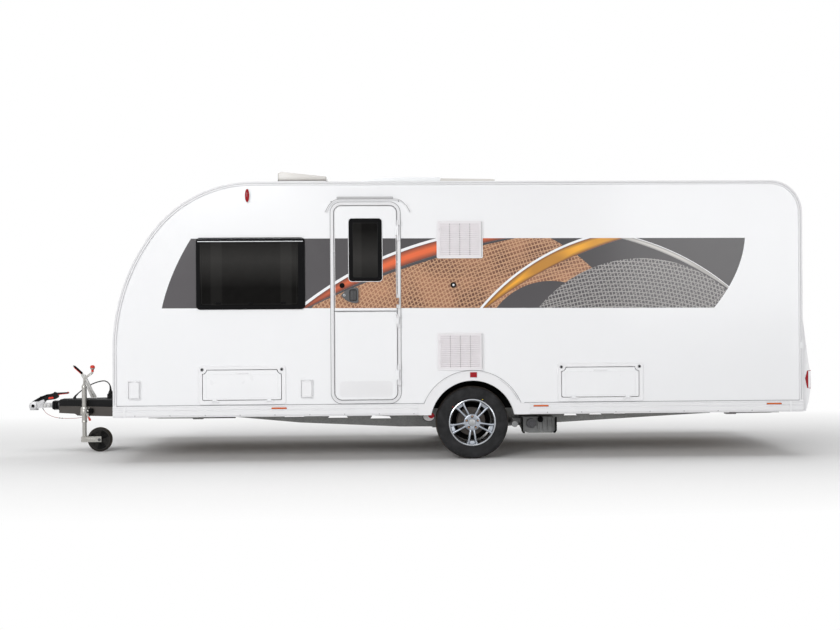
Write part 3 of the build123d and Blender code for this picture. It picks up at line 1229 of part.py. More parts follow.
# ---------------------------------------------------------------- corner steadies and movers
STEADY_Y = 800.0
STEADY_LENGTH = 420.0
STEADY_Z = 392.0
STEADY_PIN_R = 7.0
STEADIES = (  # name, pivot X, way the stowed leg points, side
    ("front_left", -2330.0, 1, -1),
    ("front_right", -2330.0, 1, 1),
    ("rear_left", 3440.0, -1, -1),
    ("rear_right", 3440.0, -1, 1),
)

for name, x, way, side in STEADIES:
    y = side * STEADY_Y
    with BuildPart() as steady:
        with BuildSketch(Plane.XZ.offset(-y - 27)):
            with BuildLine():
                Polyline((x - way * 22, STEADY_Z - 16), (x - way * 22, STEADY_Z + 16), (x + way * 60, STEADY_Z + 18),
                         (x + way * STEADY_LENGTH, STEADY_Z + 6), (x + way * STEADY_LENGTH, STEADY_Z - 26),
                         (x + way * 60, STEADY_Z - 24), close=True)
            make_face()
            with Locations((x, STEADY_Z)):
                Circle(STEADY_PIN_R + PIN_CLEAR, mode=Mode.SUBTRACT)
        extrude(amount=54)
        x0, x1 = sorted((x + way * (STEADY_LENGTH - 45), x + way * (STEADY_LENGTH + 45)))
        slab(x0, x1, y - 45, y + 45, STEADY_Z - 32, STEADY_Z - 24)
    finish(steady, f"steady_{name}")

with BuildPart() as steady_brackets:
    for name, x, way, side in STEADIES:
        y = side * STEADY_Y
        for lug in (-36, 31):
            slab(x - 30, x + 30, y + lug, y + lug + 5, STEADY_Z - 20, FLOOR_Z - 5)
        slab(x - 30, x + 30, y - 36, y + 36, FLOOR_Z - 5, FLOOR_Z)
        with BuildSketch(Plane.XZ.offset(-y - 36)):
            with Locations((x, STEADY_Z)):
                Circle(STEADY_PIN_R)
        extrude(amount=72)
finish(steady_brackets, "steady_brackets")

MOVER_X0, MOVER_X1, MOVER_Z0, MOVER_Z1 = 1070.0, 1400.0, 195.0, 345.0
ROLLER_X, ROLLER_Z, ROLLER_R = 972.0, 308.0, 24.0
with BuildPart() as movers:
    for side in (-1, 1):
        y0, y1 = sorted((side * (MEMBER_Y + 0.2), side * (MEMBER_Y + 190)))
        with BuildSketch(Plane.XZ.offset(-y1)) as gearcase:
            with BuildLine():
                Polyline((MOVER_X0, MOVER_Z0 + 62), (MOVER_X0 + 26, MOVER_Z0 + 14), (MOVER_X0 + 74, MOVER_Z0),
                         (MOVER_X1 - 34, MOVER_Z0), (MOVER_X1, MOVER_Z0 + 30), (MOVER_X1, MOVER_Z1 - 20),
                         (MOVER_X1 - 30, MOVER_Z1), (MOVER_X0, MOVER_Z1), close=True)
            make_face()
        extrude(gearcase.sketch, amount=y1 - y0)
        face0, face1 = sorted((side * (MEMBER_Y + 190), side * (MEMBER_Y + 204)))
        with BuildSketch(Plane.XZ.offset(-face1)) as ribs:
            with Locations((MOVER_X0 + 92, MOVER_Z0 + 92)):
                Circle(44)
            for x in (MOVER_X0 + 160, MOVER_X0 + 205, MOVER_X0 + 250, MOVER_X0 + 295):
                with Locations((x, (MOVER_Z0 + MOVER_Z1) / 2 + 6)):
                    Rectangle(10, 112)
        extrude(ribs.sketch, amount=face1 - face0)
        y0, y1 = sorted((side * (MEMBER_Y + 60), side * (MEMBER_Y + 120)))
        slab(940, MOVER_X0 + 5, y0, y1, 285, 330)
        across(ROLLER_X, ROLLER_Z, MEMBER_Y + 60, TRACK_HALF + 85, side, ROLLER_R)
        y0, y1 = sorted((side * (MEMBER_Y + 0.2), side * (MEMBER_Y + 60)))
        slab(MOVER_X0, MOVER_X0 + 130, y0, y1, MOVER_Z1 - 5, FLOOR_Z)
finish(movers, "movers")
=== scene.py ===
"""Looks of a single-axle touring caravan, worked around its CAD frame.

Metres. X runs from the coupling (-X) to the rear, -Y is the door side, +Z is up.
"""

import json
import math

import bmesh
import bpy
import numpy as np
from mathutils import Matrix, Vector

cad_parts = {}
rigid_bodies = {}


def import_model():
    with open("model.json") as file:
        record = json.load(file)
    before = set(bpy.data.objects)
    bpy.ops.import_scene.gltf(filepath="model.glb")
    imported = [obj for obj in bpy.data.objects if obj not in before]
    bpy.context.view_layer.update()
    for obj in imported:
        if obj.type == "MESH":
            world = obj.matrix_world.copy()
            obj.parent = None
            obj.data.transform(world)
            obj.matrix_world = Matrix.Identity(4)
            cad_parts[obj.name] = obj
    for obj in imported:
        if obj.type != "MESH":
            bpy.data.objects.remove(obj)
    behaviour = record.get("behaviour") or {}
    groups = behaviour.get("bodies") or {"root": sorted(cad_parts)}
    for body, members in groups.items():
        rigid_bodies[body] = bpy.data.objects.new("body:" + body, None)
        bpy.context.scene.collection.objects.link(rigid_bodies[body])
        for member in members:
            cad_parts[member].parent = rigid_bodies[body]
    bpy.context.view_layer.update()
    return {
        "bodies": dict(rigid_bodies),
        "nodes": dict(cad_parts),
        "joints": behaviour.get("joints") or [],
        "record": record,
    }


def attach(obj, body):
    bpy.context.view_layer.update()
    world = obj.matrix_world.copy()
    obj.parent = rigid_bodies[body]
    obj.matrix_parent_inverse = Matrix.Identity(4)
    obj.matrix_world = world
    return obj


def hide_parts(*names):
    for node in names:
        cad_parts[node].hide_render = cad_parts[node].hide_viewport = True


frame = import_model()

bl_info = {
    "name": "Touring caravan",
    "version": (1, 0, 0),
    "blender": (4, 5, 0),
    "location": "View3D > Sidebar > Caravan",
    "description": "Finishes and details of a single-axle touring caravan",
    "category": "Object",
}

MM = 0.001
SIDES = ((-1, "left"), (1, "right"))
WHEEL_X, WHEEL_Z, TRACK_Y = 0.588, 0.327, 1.0  # a road wheel's axle, and its middle out from the centre line
JOCKEY_X, JOCKEY_Y, JOCKEY_Z = -2.954, -0.178, 0.117  # the jockey wheel's middle
MOVER_X, MOVER_Y, MOVER_Z = 1.162, 0.764, 0.287  # end face of a mover's motor


# ---------------------------------------------------------------- settings
def colour(name, description, default):
    return bpy.props.FloatVectorProperty(name=name, description=description, subtype="COLOR", size=3,
        min=0.0, max=1.0, default=default)


def length(name, description, default):
    return bpy.props.FloatProperty(name=name, description=description, unit="LENGTH", default=default,
        min=0.0)


class CaravanColours(bpy.types.PropertyGroup):
    """Colours of the body, its stripes and its running gear."""

    body: colour("Body", "Gloss white of the walls", (0.88, 0.885, 0.9))
    trim: colour("Trim", "White of the moulded trim", (0.86, 0.86, 0.875))
    vent: colour("Vents", "Faintly lilac white of the fridge vents", (0.8, 0.77, 0.79))
    band: colour("Band", "Dark grey of the side band", (0.066, 0.06, 0.066))
    copper: colour("Copper", "Bright copper of the broad arcs", (0.78, 0.13, 0.03))
    copper_dark: colour("Dark copper", "Shaded end of the broad arcs", (0.115, 0.026, 0.014))
    amber_gold: colour("Gold", "Bright end of the golden arcs", (1.0, 0.46, 0.02))
    tan_line: colour("Tan lines", "Warm line work on the band", (0.62, 0.36, 0.2))
    hatch: colour("Pale lines", "Grey line work on the band", (0.4, 0.385, 0.37))
    galvanised: colour("Galvanised steel", "Chassis zinc grey", (0.3, 0.305, 0.3))
    alloy: colour("Alloy", "Road wheel silver", (0.36, 0.385, 0.425))
    rubber: colour("Rubber", "Tyres and gaiter", (0.018, 0.018, 0.019))
    grips: colour("Grips", "Red grips and knobs", (0.7, 0.03, 0.012))


class CaravanSizes(bpy.types.PropertyGroup):
    """Sizes of the details that stand on the CAD frame."""

    seal: length("Seal width", "Width of the dark seal round a leaf", 0.0055)
    tread_depth: length("Tread depth", "Depth of the tyre's grooves", 0.007)
    rail_insert: length("Rail insert", "Width of the insert strip in the awning rail", 0.012)
    bolt: length("Bolt head", "Across the flats of a chassis bolt", 0.017)


# ---------------------------------------------------------------- materials
class Field:
    """A number that changes over a surface. Arithmetic between Fields adds Math nodes to the material."""

    def __init__(self, tree, socket):
        self.tree, self.socket = tree, socket

    def math(self, kind, *values, clamp=False):
        """A Math node of this kind, fed with Fields or plain numbers."""
        node = self.tree.nodes.new("ShaderNodeMath")
        node.operation, node.use_clamp = kind, clamp
        for place, value in zip(node.inputs, values):
            if isinstance(value, Field):
                self.tree.links.new(value.socket, place)
            else:
                place.default_value = value
        return Field(self.tree, node.outputs[0])

    def __add__(self, other):
        return self.math("ADD", self, other)

    def __sub__(self, other):
        return self.math("SUBTRACT", self, other)

    def __rsub__(self, other):
        return self.math("SUBTRACT", other, self)

    def __mul__(self, other):
        return self.math("MULTIPLY", self, other)

    __radd__, __rmul__ = __add__, __mul__

    def edge(self, soft=0.0012):
        """1 where the number is above zero and 0 below, with an edge this soft."""
        return self.math("MULTIPLY_ADD", self, 1.0 / soft, 0.5, clamp=True)

    def root(self):
        return self.math("SQRT", self)

    def squared(self):
        return self.math("POWER", self, 2.0)

    def fraction(self):
        return self.math("FRACT", self)

    def size(self):
        return self.math("ABSOLUTE", self)

    def least(self, other):
        return self.math("MINIMUM", self, other)

    def most(self, other):
        return self.math("MAXIMUM", self, other)

    def wave(self, pitch):
        """Sawtooth from 0 to 1 that repeats at this pitch."""
        return (self * (1.0 / pitch)).fraction()

    def ramp(self, low, high):
        """0 at low, 1 at high, straight between."""
        return self.math("MULTIPLY_ADD", self, 1.0 / (high - low), -low / (high - low), clamp=True)


FINISHES = {}  # every finish by its name


class Finish:
    """One procedural material: a Principled shader whose colour, roughness and bumps follow the place."""

    def __init__(self, name, roughness=0.4, metallic=0.0, **sockets):
        self.material = bpy.data.materials.new(name)
        self.material.use_nodes = True
        self.tree = self.material.node_tree
        self.shader = self.tree.nodes["Principled BSDF"]
        self.shader.inputs["Roughness"].default_value = roughness
        self.shader.inputs["Metallic"].default_value = metallic
        for key, value in sockets.items():
            self.shader.inputs[key.replace("_", " ")].default_value = value
        coords = self.tree.nodes.new("ShaderNodeTexCoord")
        self.place = coords.outputs["Object"]
        self._xyz = None
        FINISHES[name] = self

    @property
    def xyz(self):
        """The place's three coordinates as Fields."""
        if self._xyz is None:
            node = self.tree.nodes.new("ShaderNodeSeparateXYZ")
            self.tree.links.new(self.place, node.inputs[0])
            self._xyz = [Field(self.tree, out) for out in node.outputs]
        return self._xyz

    def stretched(self, scale):
        """The place scaled along each axis."""
        node = self.tree.nodes.new("ShaderNodeMapping")
        node.inputs["Scale"].default_value = scale
        self.tree.links.new(self.place, node.inputs["Vector"])
        return node.outputs[0]

    def noise(self, scale, detail=3.0, place=None):
        node = self.tree.nodes.new("ShaderNodeTexNoise")
        node.inputs["Scale"].default_value = scale
        node.inputs["Detail"].default_value = detail
        node.inputs["Roughness"].default_value = 0.55
        self.tree.links.new(place or self.place, node.inputs["Vector"])
        return Field(self.tree, node.outputs["Fac"])

    def cells(self, scale):
        node = self.tree.nodes.new("ShaderNodeTexVoronoi")
        node.inputs["Scale"].default_value = scale
        self.tree.links.new(self.place, node.inputs["Vector"])
        return Field(self.tree, node.outputs["Color"])

    def blend(self, low, high, amount):
        """Colour that goes from low to high as amount goes from 0 to 1; either may be another socket."""
        node = self.tree.nodes.new("ShaderNodeMix")
        node.data_type = "RGBA"
        for place, value in ((node.inputs[6], low), (node.inputs[7], high)):
            if isinstance(value, bpy.types.NodeSocket):
                self.tree.links.new(value, place)
            else:
                place.default_value = (*value, 1.0)
        self.tree.links.new(amount.socket, node.inputs[0])
        return node.outputs[2]

    def colour(self, socket):
        self.tree.links.new(socket, self.shader.inputs["Base Color"])

    def tint(self, rgb, low, high, amount):
        """Colours the face with rgb times low to rgb times high as amount goes from 0 to 1."""
        self.colour(self.blend(shade(rgb, low), shade(rgb, high), amount))

    def rough(self, amount, low, high):
        """Roughness from low to high as amount goes from 0 to 1."""
        node = self.tree.nodes.new("ShaderNodeMapRange")
        node.inputs["To Min"].default_value = low
        node.inputs["To Max"].default_value = high
        self.tree.links.new(amount.socket, node.inputs["Value"])
        self.tree.links.new(node.outputs[0], self.shader.inputs["Roughness"])

    def bump(self, height, strength=0.2, distance=0.001):
        node = self.tree.nodes.new("ShaderNodeBump")
        node.inputs["Strength"].default_value = strength
        node.inputs["Distance"].default_value = distance
        self.tree.links.new(height.socket, node.inputs["Height"])
        self.tree.links.new(node.outputs[0], self.shader.inputs["Normal"])


def shade(rgb, factor):
    """A colour made this much lighter or darker."""
    return tuple(min(1.0, c * factor) for c in rgb)


def painted(name, rgb, variation=0.03, roughness=(0.24, 0.34), grain=120.0, strength=0.012, coat=0.35):
    """Gloss paint: slow change of tone, fine orange peel and a clear coat."""
    f = Finish(name, Coat_Weight=coat, Coat_Roughness=0.12)
    f.tint(rgb, 1 - variation, 1 + variation, f.noise(1.7))
    f.rough(f.noise(9.0), *roughness)
    f.bump(f.noise(grain, 2.0), strength, 0.0006)


def moulded(name, rgb, roughness=(0.38, 0.55), grain=900.0, strength=0.18, variation=0.06, gloss=0.4):
    """Moulded plastic: fine spark-eroded grain with faint flow marks."""
    f = Finish(name, Specular_IOR_Level=gloss)
    f.tint(rgb, 1 - variation, 1 + variation, f.noise(14.0))
    f.rough(f.noise(30.0), *roughness)
    f.bump(f.noise(grain, 2.0), strength, 0.0004)


def zinc(name, rgb, spangle=95.0, metallic=0.35):
    """Hot-dip galvanised steel: angular spangle cells, cloudy tone and dull streaks."""
    f = Finish(name, metallic=metallic)
    cells = f.cells(spangle)
    cloudy = f.noise(7.0, 4.0)
    mixed = cells * 0.45 + cloudy * 0.55
    f.tint(rgb, 0.62, 1.38, mixed)
    f.rough(cells, 0.36, 0.6)
    f.bump(cells * 0.3 + f.noise(420.0, 2.0) * 0.7, 0.16, 0.0005)


def rubbery(name, rgb, grain=480.0, wheel=None, painted_shade_radius=0.0):
    """Rubber: dusty patches over black and a fine grain; a wheel (x, z, r) has a dusty brown shoulder."""
    f = Finish(name, Specular_IOR_Level=0.16)
    tone = f.blend(shade(rgb, 0.8), shade(rgb, 2.1), f.noise(11.0, 5.0).ramp(0.35, 0.85))
    if wheel:
        x, _, z = f.xyz
        dx, dz = x - wheel[0], z - wheel[1]
        far = (dx.squared() + dz.squared()).root()
        dusty = far.ramp(wheel[2] - 0.01, wheel[2] - 0.001) * f.noise(60.0, 4.0).ramp(0.2, 0.6)
        tone = f.blend(tone, (0.075, 0.058, 0.044), dusty)
        if painted_shade_radius:  # painted shade in three hollows between webs, inside this radius, with a lighter ring just outside
            turn = dx.math("ARCTAN2", dz, dx) * (3 / math.tau) + 0.12
            hollow = (0.25 - (turn.fraction() - 0.5).size()).edge(0.01).least((painted_shade_radius - far).edge(0.0015))
            tone = f.blend(tone, shade(rgb, 0.12), hollow)
            rim = (0.0025 - (far - painted_shade_radius - 0.002).size()).edge(0.0012) * 0.7
            tone = f.blend(tone, shade(rgb, 2.6), rim)
    f.colour(tone)
    f.rough(f.noise(40.0), 0.58, 0.82)
    f.bump(f.noise(grain, 3.0), 0.25, 0.0006)


def metal(name, rgb, roughness=(0.22, 0.36), metallic=1.0, scratch=700.0):
    """Cast or turned metal with fine scratches along X."""
    f = Finish(name, metallic=metallic)
    marks = f.noise(1.0, 4.0, place=f.stretched((scratch * 0.06, scratch, scratch)))
    f.tint(rgb, 0.86, 1.1, f.noise(16.0) * 0.6 + marks * 0.4)
    f.rough(marks, *roughness)
    f.bump(marks, 0.06, 0.0003)


def lens(name, rgb, pitch=0.006):
    """Lamp lens: ribbed prisms behind a glossy coloured face."""
    f = Finish(name, roughness=0.12, Specular_IOR_Level=0.2)
    x, y, z = f.xyz
    prism = (x + y).wave(pitch) * z.wave(pitch)
    f.tint(rgb, 0.55, 1.35, prism.ramp(0.0, 0.9))
    f.rough(f.noise(60.0), 0.08, 0.2)
    f.bump(prism, 0.3, 0.0012)


def cast(name, rgb):
    """Rough sand casting: pitted, dusty and dull."""
    f = Finish(name, metallic=0.35)
    f.tint(rgb, 0.65, 1.35, f.noise(22.0, 5.0))
    f.rough(f.noise(60.0), 0.5, 0.75)
    f.bump(f.noise(700.0, 3.0), 0.35, 0.0006)


def smoke_white(name):
    """Milky acrylic with a soft gloss: a dark warm grey at its foot, growing lighter towards its top."""
    f = Finish(name, roughness=0.18, Coat_Weight=0.4, Coat_Roughness=0.08)
    z = f.xyz[2]
    f.colour(f.blend((0.3, 0.28, 0.255), (0.66, 0.64, 0.61), (z + f.noise(6.0) * 0.02).ramp(2.535, 2.59)))
    f.rough(f.noise(14.0), 0.14, 0.26)
    f.bump(f.noise(4.0, 1.0), 0.05, 0.002)


def cells_dark(name):
    """Solar cells: dark blue squares with pale busbars between them."""
    f = Finish(name, roughness=0.12, Coat_Weight=0.5, Coat_Roughness=0.03)
    x, y, _ = f.xyz
    gap = (0.47 - (x.wave(0.1) - 0.5).size()).least(0.47 - (y.wave(0.1) - 0.5).size()).edge(0.02)
    bus = (0.03 - (y.wave(0.05) - 0.5).size()).edge(0.02)
    cell = f.blend((0.008, 0.012, 0.045), (0.016, 0.024, 0.075), f.noise(24.0))
    f.colour(f.blend((0.1, 0.1, 0.11), f.blend(cell, (0.25, 0.25, 0.27), bus), gap))
    f.rough(f.noise(50.0), 0.1, 0.2)


def painted_reflection_glazing(name):
    """Near-black glazing with painted reflections: a soft lighter band where the horizon shows, and faint
    upright lighter bars.
    """
    f = Finish(name, roughness=0.06, Specular_IOR_Level=0.05)
    x, y, z = f.xyz
    along = x + y * 0.97
    # painted reflections: faint upright lighter bars, then a soft lighter band about z = 1.83 where the
    # horizon shows
    folds = (0.05 - (along.wave(0.62) - 0.5).size() * 0.62).edge(0.012) * 0.4
    painted_horizon_reflection = (0.26 - (z + f.noise(1.6, 1.0) * 0.05 - 1.83).size()).ramp(0.0, 0.24) * 0.75
    # glow is the painted reflections with a little random tone
    glow = painted_horizon_reflection * 0.62 + folds * 0.28 + f.noise(14.0, 4.0) * 0.08
    f.colour(f.blend((0.003, 0.0028, 0.0026), (0.06, 0.058, 0.056), glow))
    f.rough(f.noise(26.0, 5.0), 0.05, 0.15)
    f.bump(f.noise(3.0, 1.0), 0.02, 0.002)


def smoked(name, rgb):
    """Dark tinted acrylic, lighter towards its top as a painted sky reflection, with faint dust."""
    f = Finish(name, roughness=0.06, Specular_IOR_Level=0.06)
    dust_and_reflection_noise = f.noise(26.0, 5.0)
    # painted sky reflection: the tint lightens upwards, its edge broken by the dust noise
    f.tint(rgb, 0.5, 1.3, (f.xyz[2] + dust_and_reflection_noise * 0.25).ramp(1.55, 2.15))
    f.rough(dust_and_reflection_noise, 0.04, 0.14)
    f.bump(f.noise(3.0, 1.0), 0.03, 0.002)


def livery(name, colours):
    """Gloss white with a dark side band that holds broad arcs, white keylines and fine crossing line work.

    Every edge is a straight line, a parabola or a circle in X and Z. A place is inside a shape where
    its signed distance to the edge, in metres, is above zero.
    """
    f = Finish(name, Coat_Weight=0.35, Coat_Roughness=0.12)
    x, _, z = f.xyz
    white = f.blend(shade(colours.body, 0.985), shade(colours.body, 1.01), f.noise(1.7))
    # the band's long edges fall slightly to the rear, and its slanting ends bulge
    rise = z - 1.42
    front = x - (rise * 0.357 + rise * (z - 1.745) * 0.322 - 2.17)
    back = (z - 1.349) * 0.4541 + (z - 1.349) * (1.976 - z) * 0.6 + 2.787 - x
    band = (x * -0.0026 + 1.9889 - z).least(z - (x * -0.0049 + 1.3627)).least(front).least(back)

    def circle(cx, cz, r):
        """Distance inside a circle's edge."""
        return r - ((x - cx).squared() + (z - cz).squared()).root()

    def bow(p, q, rise):
        """Distance inside the circle through p and q whose arc rises this far to the left of their line."""
        half, run, up = math.dist(p, q) / 2, q[0] - p[0], q[1] - p[1]
        r = (half * half + rise * rise) / (2 * abs(rise))
        off = (r - abs(rise)) * (1 if rise > 0 else -1) / (2 * half)
        return circle((p[0] + q[0]) / 2 + up * off, (p[1] + q[1]) / 2 - run * off, r)

    def lines(cx, cz, pitch, share):
        """Thin circles round a centre, one each pitch."""
        place = circle(cx, cz, 0.0).wave(pitch) - 0.5
        return (share - place.size()).edge(0.1)

    tone = (z * -0.9 + x * -0.16 + f.noise(2.0, 1.0) * 0.12).ramp(-2.0, -0.85)
    grey = f.blend(shade(colours.band, 0.55), shade(colours.band, 1.0), tone)
    mesh = lines(-3.4, 0.2, 0.03, 0.1).most(lines(1.9, -1.1, 0.034, 0.09))
    mesh = mesh.most(lines(0.4, 4.2, 0.044, 0.05))
    brown = f.blend((0.13, 0.045, 0.022), (0.36, 0.16, 0.085), f.noise(3.2, 1.0).ramp(0.35, 0.65))
    tan_lines = f.blend(brown, colours.tan_line, mesh)
    pale_lines = f.blend(shade(colours.band, 1.1), colours.hatch, mesh)
    glow = f.noise(2.2, 1.0).ramp(0.35, 0.65)

    def sash(under, p, q, outer, inner, dark, bright, key=0.012):
        """A tapering arc between two circles through p and q, dark at its edges and keyed in white."""
        rim, hollow = bow(p, q, outer), bow(p, q, inner)
        shape = rim.least(0.0 - hollow)
        keyed = f.blend(under, colours.body, (rim + key).least(0.0 - hollow).edge())
        depth = abs(outer - inner)
        wash = (shape * (2.6 / depth)).least(glow * 0.7 + 0.45).ramp(0.0, 1.0)
        return f.blend(keyed, f.blend(dark, bright, wash), shape.edge())

    # tan mesh under the first sash, a plain gap, pale mesh at the rear, then the three sashes
    rise_p, rise_q = (-1.02, 1.3), (1.36, 2.05)
    below = bow(rise_p, rise_q, 0.1)
    design = f.blend(grey, tan_lines, below.least(circle(0.55, 0.55, 1.62)).least(x + 1.0).edge())
    design = f.blend(design, grey, circle(1.3, 0.98, 0.62).edge())
    design = f.blend(design, pale_lines, circle(2.12, 0.6, 1.2).edge())
    design = sash(design, rise_p, rise_q, 0.25, 0.125, colours.copper_dark, colours.copper, 0.024)
    design = sash(design, (0.62, 1.28), (2.3, 2.06), 0.225, 0.115, colours.copper_dark, colours.amber_gold,
                  0.02)
    design = sash(design, (1.55, 2.06), (3.05, 1.42), 0.15, 0.11, shade(colours.hatch, 0.6),
                  shade(colours.hatch, 1.5), 0.006)
    f.colour(f.blend(white, design, band.edge()))
    f.rough(f.noise(9.0), 0.2, 0.28)
    f.bump(f.noise(260.0, 2.0) + band.edge() * 0.4, 0.04, 0.0006)


def prepare_finishes(c):
    """Makes every material once, by name; c holds the settings' colours."""
    livery("livery_left", c)
    livery("livery_right", c)
    painted("body_white", c.body)
    painted("trim_white", c.trim, roughness=(0.34, 0.46), strength=0.02, coat=0.15)
    painted("skirt_white", shade(c.trim, 0.97), roughness=(0.3, 0.42), coat=0.2)
    moulded("vent_white", c.vent, strength=0.1)
    smoked("window_black", (0.012, 0.012, 0.013))
    moulded("window_frame", (0.004, 0.004, 0.0045), roughness=(0.3, 0.45), strength=0.06, gloss=0.05)
    moulded("black_plastic", (0.009, 0.009, 0.0095), roughness=(0.5, 0.65), gloss=0.14)
    zinc("galvanised", c.galvanised)
    zinc("galvanised_bright", (0.5, 0.5, 0.49), spangle=160.0, metallic=0.75)
    painted("chassis_grey", (0.075, 0.078, 0.078), roughness=(0.4, 0.6), coat=0.0)
    rubbery("tyre_rubber", c.rubber, wheel=(WHEEL_X, WHEEL_Z, 0.327))
    metal("zinc_polished", (0.44, 0.43, 0.405), roughness=(0.22, 0.36), metallic=0.85)
    painted("drawbar_brown", (0.06, 0.052, 0.046), variation=0.12, roughness=(0.45, 0.6), coat=0.0)
    rubbery("rubber_black", shade(c.rubber, 0.5))
    metal("alloy_silver", c.alloy)
    metal("cast_silver", (0.55, 0.55, 0.56), roughness=(0.3, 0.5), metallic=0.9)
    lens("lamp_red", (0.42, 0.008, 0.015))
    lens("lamp_amber", (0.85, 0.135, 0.0))
    lens("lamp_clear", (0.62, 0.6, 0.6))
    painted("floor_board", (0.16, 0.11, 0.07), roughness=(0.5, 0.7), coat=0.0)
    moulded("box_black", (0.005, 0.005, 0.005), roughness=(0.75, 0.9), gloss=0.1)
    moulded("vent_gap", (0.17, 0.155, 0.165), roughness=(0.7, 0.8), gloss=0.1)
    moulded("window_guide", (0.012, 0.012, 0.012), roughness=(0.3, 0.45), strength=0.05, gloss=0.15)
    moulded("panel_dark", (0.012, 0.014, 0.03), roughness=(0.1, 0.2), strength=0.05)
    metal("window_rail", (0.55, 0.56, 0.58), roughness=(0.25, 0.4), metallic=0.6)
    painted_reflection_glazing("pane")
    moulded("handle_grey", (0.085, 0.085, 0.088), roughness=(0.35, 0.5))
    painted("rail_white", shade(c.trim, 0.93), roughness=(0.3, 0.42), coat=0.1)
    moulded("seam_grey", (0.3, 0.3, 0.31), roughness=(0.5, 0.7), strength=0.05)
    moulded("light_grey", (0.5, 0.5, 0.51), roughness=(0.35, 0.5), strength=0.06)
    smoke_white("dome_white")
    moulded("dome_edge", (0.2, 0.185, 0.17), roughness=(0.35, 0.5), strength=0.05)
    metal("panel_edge", (0.66, 0.67, 0.68), roughness=(0.3, 0.42), metallic=0.7)
    moulded("liner_white", (0.55, 0.55, 0.54))
    painted("bottle_grey", (0.3, 0.32, 0.33), variation=0.08, roughness=(0.35, 0.5))
    cast("mover_grey", (0.24, 0.245, 0.245))
    metal("dark_steel", (0.1, 0.1, 0.105), roughness=(0.35, 0.5), metallic=0.8)
    metal("alloy_bright", (0.52, 0.54, 0.57), roughness=(0.14, 0.24))
    metal("bolt_copper", (0.42, 0.24, 0.14), roughness=(0.3, 0.45), metallic=0.9)
    metal("cap_grey", (0.4, 0.41, 0.42), roughness=(0.25, 0.35), metallic=0.8)
    rubbery("cable_black", (0.012, 0.012, 0.013), 900.0)
    rubbery("wire_red", (0.3, 0.01, 0.01), 900.0)
    # the jockey wheel's rubber carries painted shade in the hollows between its webs
    rubbery("jockey_rubber", (0.016, 0.015, 0.014), wheel=(JOCKEY_X, JOCKEY_Z, 0.117), painted_shade_radius=0.094)
    moulded("lever_red", c.grips, roughness=(0.3, 0.45), strength=0.1)
    moulded("dot_yellow", (0.75, 0.6, 0.04), strength=0.05)
    cells_dark("cell_blue")
    painted("drum_rust", (0.11, 0.095, 0.085), variation=0.35, roughness=(0.6, 0.8), coat=0.0)


NODE_FINISHES = {  # finish, and the CAD nodes that show in it
    "livery_left": "wall_left door_upper door_lower",
    "livery_right": "wall_right",
    "body_white": "front_panel roof rear_panel gas_lid locker_door_front locker_door_rear locker_door_right",
    "trim_white": "rear_bumper wall_fittings locker_frames flap_front flap_mid rooflight_frames",
    "floor_board": "floor",
    "box_black": "wheel_boxes",
    "liner_white": "gas_locker",
    "bottle_grey": "gas_bottles",
    "skirt_white": "wheel_spats skirts",
    "rail_white": "edge_rails door_frame",
    "window_black": "windows door_window",
    "handle_grey": "door_handle",
    "vent_white": "fridge_vents",
    "dome_white": "rooflight_mini rooflight_midi",
    "panel_edge": "solar_panel",
    "lamp_red": "lamps",
    "drum_rust": "axle",
    "galvanised": (
        "side_members steady_front_left steady_front_right steady_rear_left steady_rear_right "
        "steady_brackets"),
    "drawbar_brown": "drawbar",
    "chassis_grey": "overrun_housing",
    "cast_silver": "coupling",
    "black_plastic": "coupling_handle drawbar_cover",
    "zinc_polished": "handbrake jockey_mount jockey_leg jockey_fork",
    "mover_grey": "movers",
}


# ---------------------------------------------------------------- surfaces
# Places are in metres. Sizes, sections and profiles of details are in millimetres.
ACROSS = (0, 1, 0.001)  # top of a section swept along a side wall
NEAR_Y = (0, 1, 0.01)  # top of a section swept along a cable or pipe


class Frame3:
    """A flat place to build on: an origin, and unit directions u, v and outward n."""

    def __init__(self, origin, u, v):
        self.o, self.u, self.v = (np.array(k, float) for k in (origin, u, v))
        self.n = np.cross(self.u, self.v)

    def at(self, u, v, n):
        """The point, or array of points, at these distances along u, v and n."""
        u, v, n = np.broadcast_arrays(u, v, n)
        return self.o + u[..., None] * self.u + v[..., None] * self.v + n[..., None] * self.n

    def moved(self, u, v, n=0.0):
        """The same directions at another origin, given in this frame's own."""
        return Frame3(self.at(u, v, n), self.u, self.v)


def left(y, x, z):
    """A place that faces -Y, the door side, seen with +X to its right."""
    return Frame3((x, y, z), (1, 0, 0), (0, 0, 1))


def right(y, x, z):
    """A place that faces +Y."""
    return Frame3((x, y, z), (-1, 0, 0), (0, 0, 1))


def side_frame(side, y, x, z):
    """A frame on the left (-1) or right (1) side whose n looks away from the body."""
    return left(-y, x, z) if side < 0 else right(y, x, z)


def front(x, y, z):
    """A place that faces -X."""
    return Frame3((x, y, z), (0, -1, 0), (0, 0, 1))


def rear(x, y, z):
    """A place that faces +X."""
    return Frame3((x, y, z), (0, 1, 0), (0, 0, 1))


def up(z, x, y):
    """A place that faces +Z."""
    return Frame3((x, y, z), (1, 0, 0), (0, 1, 0))


def rounded_loop(w, h, r, n=6):
    """Points of a rounded rectangle, counter-clockwise, with n steps in each of its corners."""
    r = max(min(r, w / 2 - 0.01, h / 2 - 0.01), 0.01)
    turn = np.linspace(0, np.pi / 2, n + 1)
    x, y = w / 2 - r, h / 2 - r
    quarters = []
    for k, (cx, cy) in enumerate(((x, y), (-x, y), (-x, -y), (x, -y))):
        a = turn + k * np.pi / 2
        quarters.append(np.stack([cx + r * np.cos(a), cy + r * np.sin(a)], -1))
    return np.concatenate(quarters)


def round_loop(r, n):
    """n points round a circle."""
    a = np.arange(n) * 2 * np.pi / n
    return np.stack([r * np.cos(a), r * np.sin(a)], -1)


def oval(rx, ry, n):
    """The outline of an oval for Shell.rings, with its half sizes in millimetres."""
    return lambda inset: round_loop(1.0, n) * (rx - inset, ry - inset)


